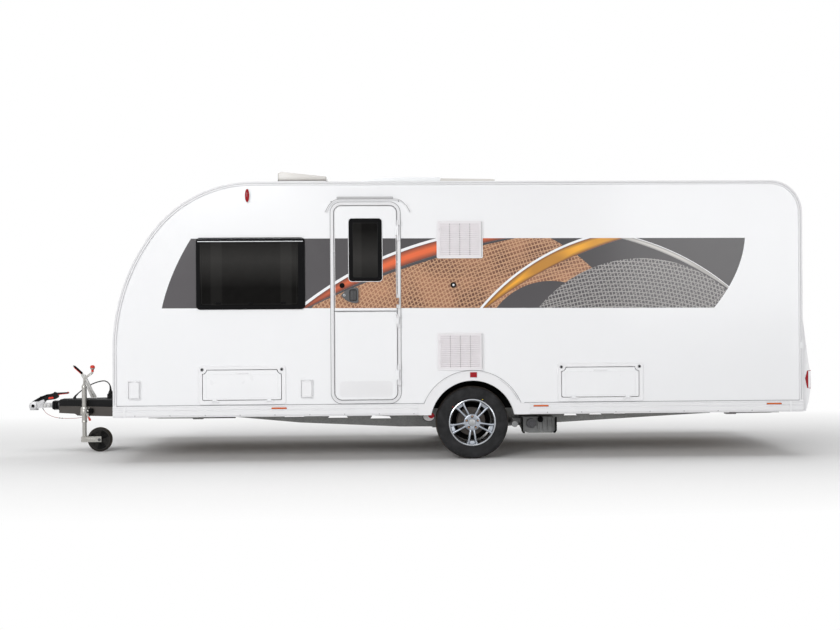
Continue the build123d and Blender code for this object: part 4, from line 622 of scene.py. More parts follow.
class Shell:
    """Collects surfaces, each a grid of points, into one object at the origin."""

    def __init__(self):
        self.points, self.faces, self.count = [], [], 0

    def grid(self, points, loop_u=False, loop_v=False, capped=False):
        """Adds a (nu, nv, 3) array of points as quads, wrapped where a direction is a loop.

        capped draws the first and last rows together in their middles, which closes a tube.
        """
        if capped:
            ends = [np.broadcast_to(points[k].mean(0), points[:1].shape) for k in (0, -1)]
            points = np.concatenate([ends[0], points, ends[1]])
        nu, nv = points.shape[:2]
        self.points.append(points.reshape(-1, 3))
        self.faces.append(grid_faces(nu, nv, loop_u, loop_v) + self.count)
        self.count += nu * nv
        return self

    def rings(self, frame, outline, section, closed=False):
        """Loops of an outline that steps in and out: section holds (inset, height) pairs in millimetres.

        outline(inset) gives a loop in millimetres. A section that isn't closed ends in its own middle.
        """
        loops = []
        for inset, height in section:
            loop = outline(inset) * MM
            loops.append(frame.at(loop[:, 0], loop[:, 1], height * MM))
        return self.grid(np.array(loops)[::-1], loop_u=closed, loop_v=True, capped=not closed)

    def pad(self, frame, w, h, r, height, edge=2.0, n=5, base=0.0):
        """A rounded rectangular pad with a softened edge, in millimetres."""
        e = edge
        section = ((0, base), (0, height - e), (e * 0.3, height - e * 0.3), (e, height),
                   (e * 2 + 0.4, height))
        return self.rings(frame, lambda d: rounded_loop(w - 2 * d, h - 2 * d, r - d, n), section)

    def bezel(self, frame, w, h, r, width, height, edge=1.5, n=6, base=0.0):
        """A rounded rectangular rim of the given width with softened edges, in millimetres."""
        e = edge
        section = ((0, base), (0, height - e), (e, height), (width - e, height), (width, height - e),
                   (width, base))
        outline = lambda d: rounded_loop(w - 2 * d, h - 2 * d, max(r - d, 2.0), n)
        return self.rings(frame, outline, section, closed=True)

    def knob(self, frame, profile, n=24):
        """A turned form: profile holds (radius, height) pairs in millimetres, from the foot to the top."""
        loops = [frame.at(*round_loop(max(r, 0.001) * MM, n).T, h * MM) for r, h in profile]
        return self.grid(np.array(loops)[::-1], loop_v=True, capped=True)

    def sweep(self, path, section, scales=None, up_hint=(0, 0, 1), loop=False):
        """A closed section (m, 2) carried along a path (n, 3), its ends drawn together; scales widens it."""
        path = np.asarray(path, float)
        ahead = np.gradient(path, axis=0) if not loop else np.roll(path, -1, 0) - np.roll(path, 1, 0)
        ahead /= np.linalg.norm(ahead, axis=1, keepdims=True)
        side = np.cross(ahead, np.asarray(up_hint, float))
        side /= np.linalg.norm(side, axis=1, keepdims=True)
        top = np.cross(side, ahead)
        scales = np.ones((len(path), 2)) if scales is None else np.asarray(scales, float)
        section = np.asarray(section, float)
        across = side[:, None] * section[None, :, :1] * scales[:, None, :1]
        above = top[:, None] * section[None, :, 1:] * scales[:, None, 1:]
        return self.grid(path[:, None] + across + above, loop_u=loop, loop_v=True, capped=not loop)

    def piece(self, name, finish, slot=None, body="caravan", smooth=True):
        """Makes the object: joins doubled points, turns faces outwards and rides it on a body."""
        mesh = bpy.data.meshes.new(name)
        points, faces = np.concatenate(self.points), np.concatenate(self.faces)
        mesh.from_pydata(points.tolist(), [], faces.tolist())
        work = bmesh.new()
        work.from_mesh(mesh)
        bmesh.ops.remove_doubles(work, verts=work.verts, dist=2e-6)
        bmesh.ops.dissolve_degenerate(work, edges=work.edges, dist=1e-6)
        bmesh.ops.recalc_face_normals(work, faces=work.faces)
        work.to_mesh(mesh)
        work.free()
        if smooth:
            mesh.shade_smooth()
            mesh.set_sharp_from_angle(angle=math.radians(38))
        made = bpy.data.objects.new(name, mesh)
        bpy.context.scene.collection.objects.link(made)
        if finish:
            mesh.materials.append(FINISHES[finish].material)
        if body:
            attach(made, body)
        return made


def grid_faces(nu, nv, loop_u, loop_v):
    """Quads of a grid of nu by nv points as an array, wrapped round where a direction is a loop."""
    iu = np.arange(nu if loop_u else nu - 1)
    iv = np.arange(nv if loop_v else nv - 1)
    a, b = np.meshgrid(iu, iv, indexing="ij")
    c, d = (a + 1) % nu, (b + 1) % nv
    return np.stack([a * nv + b, c * nv + b, c * nv + d, a * nv + d], axis=-1).reshape(-1, 4)


def section_round(r, n=10):
    """A round section to sweep, its radius in millimetres."""
    return round_loop(r * MM, n)


def section_flat(w, h, r=2.0, n=2):
    """A rounded flat section to sweep, in millimetres."""
    return rounded_loop(w, h, r, n) * MM


def bars(place, level, soft):
    """1 round the middle of every whole step of place and 0 between them, with sides this soft."""
    return np.clip(level - np.abs(place % 1.0 - 0.5) / soft, 0, 1)


def polyline(points, step=0.02):
    """Points along straight runs between the given ones, no further apart than step."""
    points = np.asarray(points, float)
    out = [points[:1]]
    for a, b in zip(points, points[1:]):
        n = max(1, int(np.ceil(np.linalg.norm(b - a) / step)))
        out.append(a + (b - a) * (np.arange(1, n + 1) / n)[:, None])
    return np.concatenate(out)


def arc(centre, r, a0, a1, n=12):
    """Points (x, z) of an arc in degrees."""
    a = np.radians(np.linspace(a0, a1, n))
    return np.stack([centre[0] + r * np.cos(a), centre[1] + r * np.sin(a)], -1)


# ---------------------------------------------------------------- stage and finishes
SURROUND = 0.33  # strength of the white surroundings as light


class CARAVAN_OT_stage(bpy.types.Operator):
    """Pale floor, white surroundings, soft studio lamps and the camera."""

    bl_idname = "caravan.stage"
    bl_label = "Studio"

    @staticmethod
    def direct(tree):
        """1 for rays that show the background: from the camera, off a gloss or through glass."""
        rays = tree.nodes.new("ShaderNodeLightPath")
        seen = Field(tree, rays.outputs["Is Camera Ray"]).most(Field(tree, rays.outputs["Is Glossy Ray"]))
        return seen.most(Field(tree, rays.outputs["Is Transmission Ray"]))

    def execute(self, context):
        scene = context.scene
        scene.view_settings.view_transform = "Standard"
        eye = bpy.data.cameras.new("camera")
        eye.lens, eye.sensor_width, eye.sensor_fit = 50.0, 36.0, "HORIZONTAL"
        eye.clip_start, eye.clip_end = 0.1, 500.0
        camera = bpy.data.objects.new("camera", eye)
        turn = Matrix.Rotation(math.radians(-2.0), 4, "Z") @ Matrix.Rotation(math.radians(90.0), 4, "X")
        turn = turn @ Matrix.Rotation(math.radians(-0.38), 4, "Z")
        camera.matrix_world = Matrix.Translation((-0.245, -11.582, 1.3)) @ turn
        scene.collection.objects.link(camera)
        scene.camera = camera

        reach = 90.0
        flat = np.array([[(a, b, -0.0006) for b in (-reach, reach)] for a in (-reach, reach)])
        floor = Shell().grid(flat).piece("floor_stage", None, body=None, smooth=False)
        f = Finish("studio_floor", roughness=0.9)
        f.colour(f.blend((0.86, 0.86, 0.86), (0.89, 0.89, 0.89), f.noise(0.4)))
        f.bump(f.noise(30.0), 0.03, 0.001)
        away = f.tree.nodes.new("ShaderNodeVectorMath")
        away.operation = "LENGTH"
        f.tree.links.new(f.stretched((0.36, 1.0, 1.0)), away.inputs[0])
        fade = Field(f.tree, away.outputs["Value"]).ramp(1.6, 4.2) * self.direct(f.tree)
        white = f.tree.nodes.new("ShaderNodeEmission")
        mixed = f.tree.nodes.new("ShaderNodeMixShader")
        f.tree.links.new(fade.socket, mixed.inputs[0])
        f.tree.links.new(f.shader.outputs[0], mixed.inputs[1])
        f.tree.links.new(white.outputs[0], mixed.inputs[2])
        f.tree.links.new(mixed.outputs[0], f.tree.nodes["Material Output"].inputs["Surface"])
        floor.data.materials.append(f.material)

        world = bpy.data.worlds.new("surroundings")
        scene.world = world
        world.use_nodes = True
        tree = world.node_tree
        back = tree.nodes["Background"]
        back.inputs["Color"].default_value = (1.0, 1.0, 1.0, 1.0)
        strength = self.direct(tree) * (1.0 - SURROUND) + SURROUND
        tree.links.new(strength.socket, back.inputs["Strength"])

        for name, place, aim, size, power in (
            ("lamp_key", (-6.0, -13.0, 6.4), (-0.6, 0.0, 1.2), (9.0, 5.0), 880.0),
            ("lamp_fill", (7.5, -12.0, 3.2), (0.8, 0.0, 0.8), (7.0, 4.0), 210.0),
            ("lamp_top", (0.0, 0.0, 9.5), (0.0, 0.0, 0.0), (12.0, 7.0), 375.0),
            ("lamp_back", (1.0, 12.0, 7.0), (0.0, 0.0, 1.4), (10.0, 5.0), 525.0),
        ):
            lamp = bpy.data.lights.new(name, "AREA")
            lamp.shape, lamp.size, lamp.size_y, lamp.energy = "RECTANGLE", size[0], size[1], power
            body = bpy.data.objects.new(name, lamp)
            body.location = place
            body.rotation_euler = (Vector(aim) - Vector(place)).to_track_quat("-Z", "Y").to_euler()
            scene.collection.objects.link(body)
        return {"FINISHED"}


class CARAVAN_OT_finishes(bpy.types.Operator):
    """Gives every CAD node that shows its own procedural material."""

    bl_idname = "caravan.finishes"
    bl_label = "Finishes"

    def execute(self, context):
        prepare_finishes(context.scene.caravan_colours)
        for finish, nodes in NODE_FINISHES.items():
            for node in nodes.split():
                slots = frame["nodes"][node].data.materials
                for k in range(len(slots)):
                    slots[k] = FINISHES[finish].material
        return {"FINISHED"}


# ---------------------------------------------------------------- pieces: cords first
def route_curve(name, points, diameter=0.0):
    """One NURBS curve through a route's control points, as round as its diameter."""
    curve = bpy.data.curves.new(name, "CURVE")
    curve.dimensions = "3D"
    line = curve.splines.new("NURBS")
    line.points.add(len(points) - 1)
    for place, point in zip(line.points, points):
        place.co = (*point, 1.0)
    line.order_u = 3
    line.use_endpoint_u = True
    curve.resolution_u = 10
    curve.bevel_depth = diameter / 2
    curve.bevel_resolution = 4
    curve.use_fill_caps = diameter > 0
    piece = bpy.data.objects.new(name, curve)
    bpy.context.scene.collection.objects.link(piece)
    return piece


def nurbs_cord(name, points, diameter, finish):
    """A round cable along its route."""
    piece = route_curve(name, points, diameter)
    piece.data.materials.append(FINISHES[finish].material)
    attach(piece, "caravan")
    return piece


def route_line(points):
    """Points along a route in order, read from its NURBS spline."""
    bare = route_curve("route", points)
    mesh = bpy.data.meshes.new_from_object(bare)
    line = np.empty(len(mesh.vertices) * 3)
    mesh.vertices.foreach_get("co", line)
    curve = bare.data
    bpy.data.objects.remove(bare)
    bpy.data.curves.remove(curve)
    bpy.data.meshes.remove(mesh)
    return line.reshape(-1, 3)


def sleeve(shell, line, start, end, r0, r1, ridge=0.0):
    """A sleeve round a cable between two distances along it, from r0 to r1 thick, with rings this high."""
    far = np.concatenate([[0.0], np.cumsum(np.linalg.norm(np.diff(line, axis=0), axis=1))])
    t = np.linspace(0.0, 1.0, 33)
    path = np.stack([np.interp(start + (end - start) * t, far, line[:, k]) for k in range(3)], -1)
    size = r0 + (r1 - r0) * t + ridge * (0.5 + 0.5 * np.cos(t * 14 * np.pi)) * (1 - t * 0.5)
    size[0], size[-1] = size[0] * 0.9, size[-1] * 0.88
    shell.sweep(path, round_loop(1.0, 20), np.stack([size, size], -1), up_hint=NEAR_Y)


PLUG_X, MAIN_Y, BREAKAWAY_Y = -2.9, 0.034, -0.012
MAIN_ROUTE = tuple((x, MAIN_Y, z) for x, z in ((-3.252, 0.5137), (-3.238, 0.53), (-3.188, 0.577),
    (-3.118, 0.623), (-3.046, 0.656), (-2.9695, 0.674), (-2.9338, 0.6631), (-2.909, 0.6369), (-2.9, 0.602),
    (-2.9, 0.571)))
BREAKAWAY_ROUTE = tuple((x, BREAKAWAY_Y, z) for x, z in ((-3.552, 0.4132), (-3.534, 0.378), (-3.502, 0.349),
    (-3.455, 0.326), (-3.4, 0.313), (-3.342, 0.308), (-3.284, 0.307), (-3.226, 0.309), (-3.168, 0.315),
    (-3.112, 0.325), (-3.059, 0.341), (-3.01, 0.366), (-2.974, 0.398), (-2.956, 0.4334)))


def wheel_frame(side):
    """The middle of a road wheel, looking at it from outside."""
    return side_frame(side, TRACK_Y, WHEEL_X, WHEEL_Z)


class CARAVAN_OT_cables(bpy.types.Operator):
    """The main cable with its plug parked on the drawbar, and the thin red breakaway wire under it."""

    bl_idname = "caravan.cables"
    bl_label = "Cables"

    def execute(self, context):
        plug = Shell()
        foot = up(0.0, PLUG_X, MAIN_Y)
        plug.knob(foot, ((0, 512), (20.5, 512), (20.8, 543), (23.8, 544.5), (24, 553), (21.5, 556),
                         (20.5, 560), (17.5, 566), (17.2, 569), (16, 569.5), (15.5, 573), (14, 573.5),
                         (13.6, 577), (12, 577.5), (11.2, 583.5), (6.2, 584), (5.8, 570.5), (0, 570.2)), 32)
        for turn in np.arange(12) * np.pi / 6:
            c, s = np.cos(turn), np.sin(turn)
            grip = np.array([(PLUG_X + 0.0205 * c, MAIN_Y + 0.0205 * s, z) for z in (0.546, 0.549, 0.5525)])
            plug.sweep(grip, section_flat(3, 2.5, 0.8), up_hint=(c, s, 0.1))
        line = route_line(MAIN_ROUTE)
        sleeve(plug, line[::-1], 0.0, 0.055, 0.0116, 0.0064, 0.0008)
        plug_piece = plug.piece("main_plug_body", "black_plastic", "black_plastic")
        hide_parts("main_plug")
        cable = nurbs_cord("main_cable_line", MAIN_ROUTE, 0.011, "cable_black")
        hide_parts("main_cable")
        collar = Shell()
        gland = up(0.0, MAIN_ROUTE[0][0], MAIN_Y)
        collar.knob(gland, ((15, 509), (15, 510.5), (13.5, 512.5), (10.5, 514), (0, 514)), 24)
        sleeve(collar, line, 0.0, 0.044, 0.0098, 0.0063, 0.0007)
        collar_piece = collar.piece("main_cable_gland", "black_plastic", "black_plastic")
        wire = nurbs_cord("breakaway_wire", BREAKAWAY_ROUTE, 0.004, "wire_red")
        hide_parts("breakaway_cable")
        crimps = Shell()
        line = route_line(BREAKAWAY_ROUTE)
        sleeve(crimps, line, 0.0, 0.026, 0.0048, 0.0026)
        sleeve(crimps, line[::-1], 0.0, 0.024, 0.0046, 0.0026)
        for start in (0.196, 0.222):
            sleeve(crimps, line, start, start + 0.013, 0.004, 0.0036)
        crimps = crimps.piece("breakaway_crimps", "dark_steel", "galvanised")
        return {"FINISHED"}


# ---------------------------------------------------------------- pieces: running gear
class CARAVAN_OT_tyres(bpy.types.Operator):
    """Road tyres: a turned profile with grooves and sipes cut in its tread and fine rings on its sides."""

    bl_idname = "caravan.tyres"
    bl_label = "Tyres"

    def execute(self, context):
        depth = context.scene.caravan_sizes.tread_depth
        key = np.array([(0.1992, -0.07), (0.2055, -0.074), (0.2135, -0.082), (0.224, -0.0915),
                        (0.24, -0.0968), (0.265, -0.0988), (0.288, -0.0968), (0.303, -0.0928),
                        (0.314, -0.0868), (0.3215, -0.079), (0.3255, -0.07)])
        tread = np.linspace(-0.066, 0.066, 45)
        crown = np.stack([0.3268 - (tread / 0.066) ** 4 * 0.0012, tread], -1)
        profile = np.concatenate([key, crown, key[::-1] * (1, -1)])
        extra = np.linspace(0, 1, 3, endpoint=False)
        finer = [profile[k] + extra[:, None] * (profile[k + 1] - profile[k]) for k in range(66)]
        fine = np.concatenate([*finer[:10], profile[10:56], *finer[56:], profile[-1:]])
        count = 440
        angle, across = np.meshgrid(np.arange(count) * math.tau / count, fine[:, 1], indexing="ij")
        radius, out = np.broadcast_to(fine[:, 0], angle.shape), np.abs(across)
        groove = np.zeros(angle.shape)
        for place in (-0.045, -0.016, 0.016, 0.045):
            waver = place + 0.0022 * np.sin(angle * 40)
            groove = np.maximum(groove, np.clip(1.6 - np.abs(across - waver) / 0.0026, 0, 1))
        slot = bars(angle * 64 / math.tau + out * 34, 1.35, 0.16)
        groove = np.maximum(groove, slot * (out > 0.047) * (out < 0.083))
        sipe = bars(angle * 96 / math.tau - across * 22, 1.2, 0.09)
        groove = np.maximum(groove, 0.5 * sipe * (out < 0.042))
        radius = radius - depth * groove * np.clip((radius - 0.312) / 0.009, 0, 1)
        rings = sum(np.exp(-((radius - r) / 0.0013) ** 2) for r in (0.222, 0.234, 0.279, 0.286, 0.297))
        across = across + np.sign(across) * 0.0011 * (rings * (out > 0.08) - (out > 0.0975))
        bead = np.full((count, 1), 0.1992)
        radius = np.concatenate([radius, bead, bead], axis=1)
        across = np.concatenate([across, across[:, -1:], across[:, :1]], axis=1)
        turn = angle[:, :1]
        for side, name in SIDES:
            x, z = WHEEL_X + radius * np.sin(turn), WHEEL_Z + radius * np.cos(turn)
            points = np.stack([x, side * TRACK_Y + across, z], -1)
            tyre = Shell().grid(points, loop_u=True, loop_v=True)
            made = tyre.piece("tyre_tread_" + name, "tyre_rubber", "tyre_rubber", "wheel_" + name)
            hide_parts("tyre_" + name)
        return {"FINISHED"}


class CARAVAN_OT_alloys(bpy.types.Operator):
    """Alloy wheels: a turned barrel, a dished hub, five pairs of tapering spokes, bolts and a blank cap."""

    bl_idname = "caravan.alloys"
    bl_label = "Alloy wheels"

    def execute(self, context):
        for side, name in SIDES:
            body = "wheel_" + name
            face = wheel_frame(side)

            barrel = Shell()
            barrel.rings(face, lambda r: round_loop(r, 96), (
                (198, 79), (204.5, 83.8), (211.5, 81), (213, 76), (209, 73.5), (202.5, 70),
                (199.2, 64), (198.8, -78), (204, -81), (203.5, -84.5), (195.5, -80), (190, -70),
                (186.5, -60), (186.5, 40), (188.5, 50), (193.5, 62), (195.5, 72)), closed=True)
            barrel.piece("alloy_rim_" + name, "alloy_bright", "alloy_silver", body)

            star = Shell()
            star.knob(face, ((0, 48.2), (75, 48.2), (77.5, 50.5), (78, 59), (74, 65.5), (66, 69),
                             (42, 64.5), (35, 64), (33.5, 65.5), (0, 65.5)), 60)
            t = np.linspace(0, 1, 12)
            for k in range(5):
                middle = np.radians(-90 + 72 * k)
                for lean in (-1, 1):
                    radius = 0.06 + t * 0.143
                    away = lean * (0.013 + 0.023 * t ** 0.9 + 0.009 * np.clip(t - 0.82, 0, 1) / 0.18)
                    height = 0.0655 + 0.0085 * np.sin(np.pi * t) * 0.9 + 0.004 * t
                    u = radius * np.cos(middle) - away * np.sin(middle)
                    v = radius * np.sin(middle) + away * np.cos(middle)
                    path = face.at(u, v, height - 0.013)
                    flare = 0.01 * np.clip(t - 0.86, 0, 1) / 0.14
                    wide = 0.025 - 0.005 * np.sin(np.pi * np.clip(t * 1.15, 0, 1)) + flare
                    section = np.array([(-0.5, -1.0), (0.5, -1.0), (0.5, 0.25), (0.34, 0.78), (0.12, 1.0),
                                        (-0.12, 1.0), (-0.34, 0.78), (-0.5, 0.25)])
                    star.sweep(path, section, np.stack([wide, np.full_like(t, 0.0125)], -1), up_hint=face.n)
                radius, away = np.meshgrid(np.linspace(0.168, 0.196, 5), (-1, 0, 1), indexing="ij")
                away = away * (0.0125 + 0.0215 * ((radius - 0.06) / 0.143) ** 0.9)
                u = radius * np.cos(middle) - away * np.sin(middle)
                v = radius * np.sin(middle) + away * np.cos(middle)
                lift = 0.048 + 0.006 * ((radius - 0.168) / 0.028)
                web = np.concatenate([face.at(u, v, lift + 0.006), face.at(u, v, lift - 0.004)[:, ::-1]], 1)
                star.grid(web, loop_v=True, capped=True)
            spokes = star.piece("alloy_star_" + name, "alloy_silver", "alloy_silver", body)
            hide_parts("alloy_" + name)

            pocket_shades, bolts = Shell(), Shell()
            for k in range(5):
                a = np.radians(-54 + 72 * k)
                spot = face.moved(0.055 * np.cos(a), 0.055 * np.sin(a))
                # black cups painted as the shade in the recesses round the bolts
                pocket_shades.knob(spot, ((0, 66), (9.5, 66), (11, 69), (13, 69.5), (13.6, 67.2), (13.6, 60)), 20)
                bolts.knob(spot, ((8.2, 60), (8.2, 72.2), (6.8, 73.8), (4.6, 73.8), (4, 71.5)), 6)
            pocket_shades.piece("bolt_pocket_shades_" + name, "box_black", "black_plastic", body)
            bolts.piece("wheel_bolts_" + name, "bolt_copper", "galvanised", body, smooth=False)
            cap = Shell()
            cap.knob(face, ((33, 65), (33, 70.5), (31, 72.8), (26.5, 73.2), (25.8, 72.2), (15, 74.2),
                            (0, 75)), 40)
            cap.piece("centre_cap_" + name, "cap_grey", "alloy_silver", body)
        return {"FINISHED"}


class CARAVAN_OT_running_gear(bpy.types.Operator):
    """Brake drums with wide dark backplates behind them that also paint the shade inside the wheels, the
    jockey wheel, bolts along the members, mover and steady fittings.
    """

    bl_idname = "caravan.running_gear"
    bl_label = "Running gear"

    def execute(self, context):
        drums, shade_backplates = Shell(), Shell()
        for side in (-1, 1):
            face = wheel_frame(side)
            drums.knob(face, ((128.5, -132), (129, -126), (134, -124), (134, -118), (129, -116), (129, -66),
                              (124, -59.2), (90, -57), (86, -50), (0, -50)), 60)
            # a dark backplate behind each drum, partly real and partly a wide disc painted as the shade
            # inside the wheel's barrel
            shade_backplates.knob(face, ((0, -140), (178, -140), (180, -138), (180, -126), (177, -124), (150, -130),
                                (0, -130)), 60)
            for u, v, w, h in ((-0.08, 0.06, 50, 85), (0.09, 0.05, 55, 95), (0.0, 0.118, 95, 45)):
                shade_backplates.pad(face.moved(u, v, -0.128), w, h, 12, 50, edge=6)
        drums.piece("brake_drums", "drum_rust", "chassis_grey")
        shade_backplates.piece("brake_shade_backplates", "box_black", "chassis_grey")
        for side, name in SIDES:
            face = wheel_frame(side)
            for tint, r, turn, size_r in (("dot_yellow", 0.226, 66, 4.8), ("lever_red", 0.228, 141, 4.0)):
                dot = Shell()
                a = np.radians(turn if side < 0 else 180 - turn)
                dot.knob(face.moved(r * np.cos(a), r * np.sin(a), 0.0915),
                         ((0, -2), (size_r, -2), (size_r * 0.9, 2.2), (0, 2.6)), 12)
                dot.piece(f"tyre_{tint}_{name}", tint, "tyre_rubber", "wheel_" + name)

        wheel = left(JOCKEY_Y, JOCKEY_X, JOCKEY_Z)
        radii = np.array([0.0082, 0.018, 0.021, 0.024, 0.04, 0.052, 0.066, 0.074, 0.0775, 0.081, 0.094,
                          0.104, 0.1115, 0.1158, 0.117])
        level = np.array([0.0305, 0.0308, 0.0306, 0.0225, 0.0215, 0.0215, 0.022, 0.024, 0.03, 0.0306,
                          0.0308, 0.0296, 0.0262, 0.0205, 0.014])
        angle, radius = np.meshgrid(np.arange(96) * math.tau / 96, radii, indexing="ij")
        spoke = bars(angle * 6 / math.tau, 1.5, 0.16)
        height = level + spoke * (radius > 0.022) * (radius < 0.076) * 0.0075
        u, v = radius * np.cos(angle), radius * np.sin(angle)
        near, far = wheel.at(u, v, height), wheel.at(u, v, -height)
        jockey = Shell().grid(np.concatenate([near, far[:, ::-1]], 1), loop_u=True, loop_v=True)
        made = jockey.piece("jockey_wheel_tread", "jockey_rubber", "rubber_black", "jockey_wheel")
        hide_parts("jockey_wheel")

        nut = Shell()
        for sign in (-1, 1):
            spot = side_frame(sign, sign * JOCKEY_Y, JOCKEY_X, JOCKEY_Z)
            nut.knob(spot, ((10.5, 40.5), (10.5, 49), (9, 50.5), (6, 50.5)), 6)
            nut.knob(spot, ((14.8, 40.3), (14.8, 42.5), (10.5, 43), (0, 43)), 24)
        nut.piece("jockey_axle_nuts", "dark_steel", "galvanised", "jockey_fork", smooth=False)

        size = context.scene.caravan_sizes.bolt / 2 / MM
        bolts = Shell()
        xs = np.concatenate([np.arange(-1.62, -0.2, 0.16), np.arange(0.7, 2.75, 0.21)])
        for side in (-1, 1):
            for x in xs:
                spot = side_frame(side, 0.56, x, 0.428)
                bolts.knob(spot, ((size, -1), (size, 5.5), (size - 1.4, 7), (size * 0.5, 7)), 6)
            for x, z in ((-1.84, 0.4), (-1.84, 0.372), (-1.7, 0.4), (0.36, 0.3), (0.36, 0.36), (0.52, 0.3),
                         (0.52, 0.36), (0.42, 0.276), (0.42, 0.392)):
                spot = side_frame(side, 0.5605 if x > -1.8 else 0.5655, x, z)
                bolts.knob(spot, ((size * 1.3, -1), (size * 1.3, 8), (size * 1.1, 9.8), (size * 0.5, 9.8)),
                           6)
        bolts.piece("chassis_bolts", "galvanised_bright", "galvanised", smooth=False)

        rollers, motors = Shell(), Shell()
        for side in (-1, 1):
            face = side_frame(side, MOVER_Y, MOVER_X, MOVER_Z)
            motors.knob(face, ((44, -4), (46, 1), (43, 6), (30, 7), (28, 4.5), (16, 4.5), (14.5, 11),
                               (0, 12)), 32)
            for k in range(4):
                turn = np.radians(45 + 90 * k)
                spot = side_frame(side, MOVER_Y, MOVER_X + 0.036 * np.cos(turn),
                                  MOVER_Z + 0.036 * np.sin(turn))
                motors.knob(spot, ((5, 2), (5, 9.5), (3, 9.5)), 6)
            axis = side_frame(side, TRACK_Y, 0.972, 0.308)
            along = np.linspace(-0.075, 0.084, 26)
            angle = np.arange(60)[:, None] * math.tau / 60
            radius = 0.0245 + 0.0022 * (np.sin(angle * 15 + along * 160) > 0.1)
            rollers.grid(axis.at(radius * np.cos(angle), radius * np.sin(angle), along), loop_u=True)
            for end in (-75, 84):
                rollers.knob(axis, ((26.7, end - 0.6), (26.7, end + 0.6), (0, end + 0.6)), 60)
        motors.piece("mover_motor_ends", "dark_steel", "chassis_grey")
        rollers.piece("mover_rollers", "galvanised", "chassis_grey")

        screws = Shell()
        for x, way, side in ((-2.33, 1, -1), (-2.33, 1, 1), (3.44, -1, -1), (3.44, -1, 1)):
            face = Frame3((x - way * 0.05, side * 0.8, 0.415), (0, way, 0), (0, 0, 1))
            screws.knob(face, ((9.5, -50), (10, 0), (14, 1), (14, 14), (9, 16), (0, 16)), 6)
        screws.piece("steady_screw_heads", "galvanised_bright", "galvanised", smooth=False)
        return {"FINISHED"}


# ---------------------------------------------------------------- pieces: body
FRONT_X, REAR_X = -2.616, 3.592
FLOOR_Z, ROOF_Z = 0.512, 2.5  # foot of the walls and top of the roof
WALL_Y, SKIRT_Y, PANE_Y = 1.115, 1.14, 1.129  # outer faces of the walls, the skirts and the windows
WINDOWS = (  # frame on its pane, width and height in millimetres
    (left(-PANE_Y, -1.3905, 1.68), 959, 632), (right(PANE_Y, -1.3905, 1.68), 959, 632),
    (right(PANE_Y, 0.6, 1.68), 900, 632), (right(PANE_Y, 2.65, 1.738), 700, 516),
    (rear(3.606, 0.0, 1.738), 840, 516),
)
SEAM_R = 2.2  # radius of a seam, millimetres
SKIRT_Z = 0.506  # seam above the skirts


def side_curve(inset, step=0.04):
    """Points (x, z) along the body's side outline from the front's foot to the rear's, drawn in by inset."""
    turn, r1, bend = math.radians(37.0), 1.75, 1.0
    r2 = (ROOF_Z - bend - r1 * math.sin(turn)) / (1 - math.sin(turn))
    c1 = (FRONT_X + r1, bend)
    top = (c1[0] - r1 * math.cos(turn), bend + r1 * math.sin(turn))
    c2 = (top[0] + r2 * math.cos(turn), top[1] - r2 * math.sin(turn))
    low = arc(c1, r1 - inset, 180, 180 - 37, int(r1 * turn / step) + 2)
    high = arc(c2, r2 - inset, 180 - 37, 90, int(r2 * 0.93 / step) + 2)
    corner = arc((3.302, 2.21), 0.29 - inset, 90, 0, 12)
    straight = polyline([(FRONT_X + inset, FLOOR_Z), low[0]], 0.1)[:-1]
    roof = polyline([high[-1], corner[0]], 0.2)[1:-1]
    back = polyline([corner[-1], (REAR_X - inset, FLOOR_Z)], 0.1)[1:]
    return np.concatenate([straight, low, high[1:], roof, corner, back])


def on_wall(side, xz, out):
    """Lifts (x, z) points onto a side wall, this far out from the centre line."""
    return np.stack([xz[:, 0], np.full(len(xz), side * out), xz[:, 1]], -1)


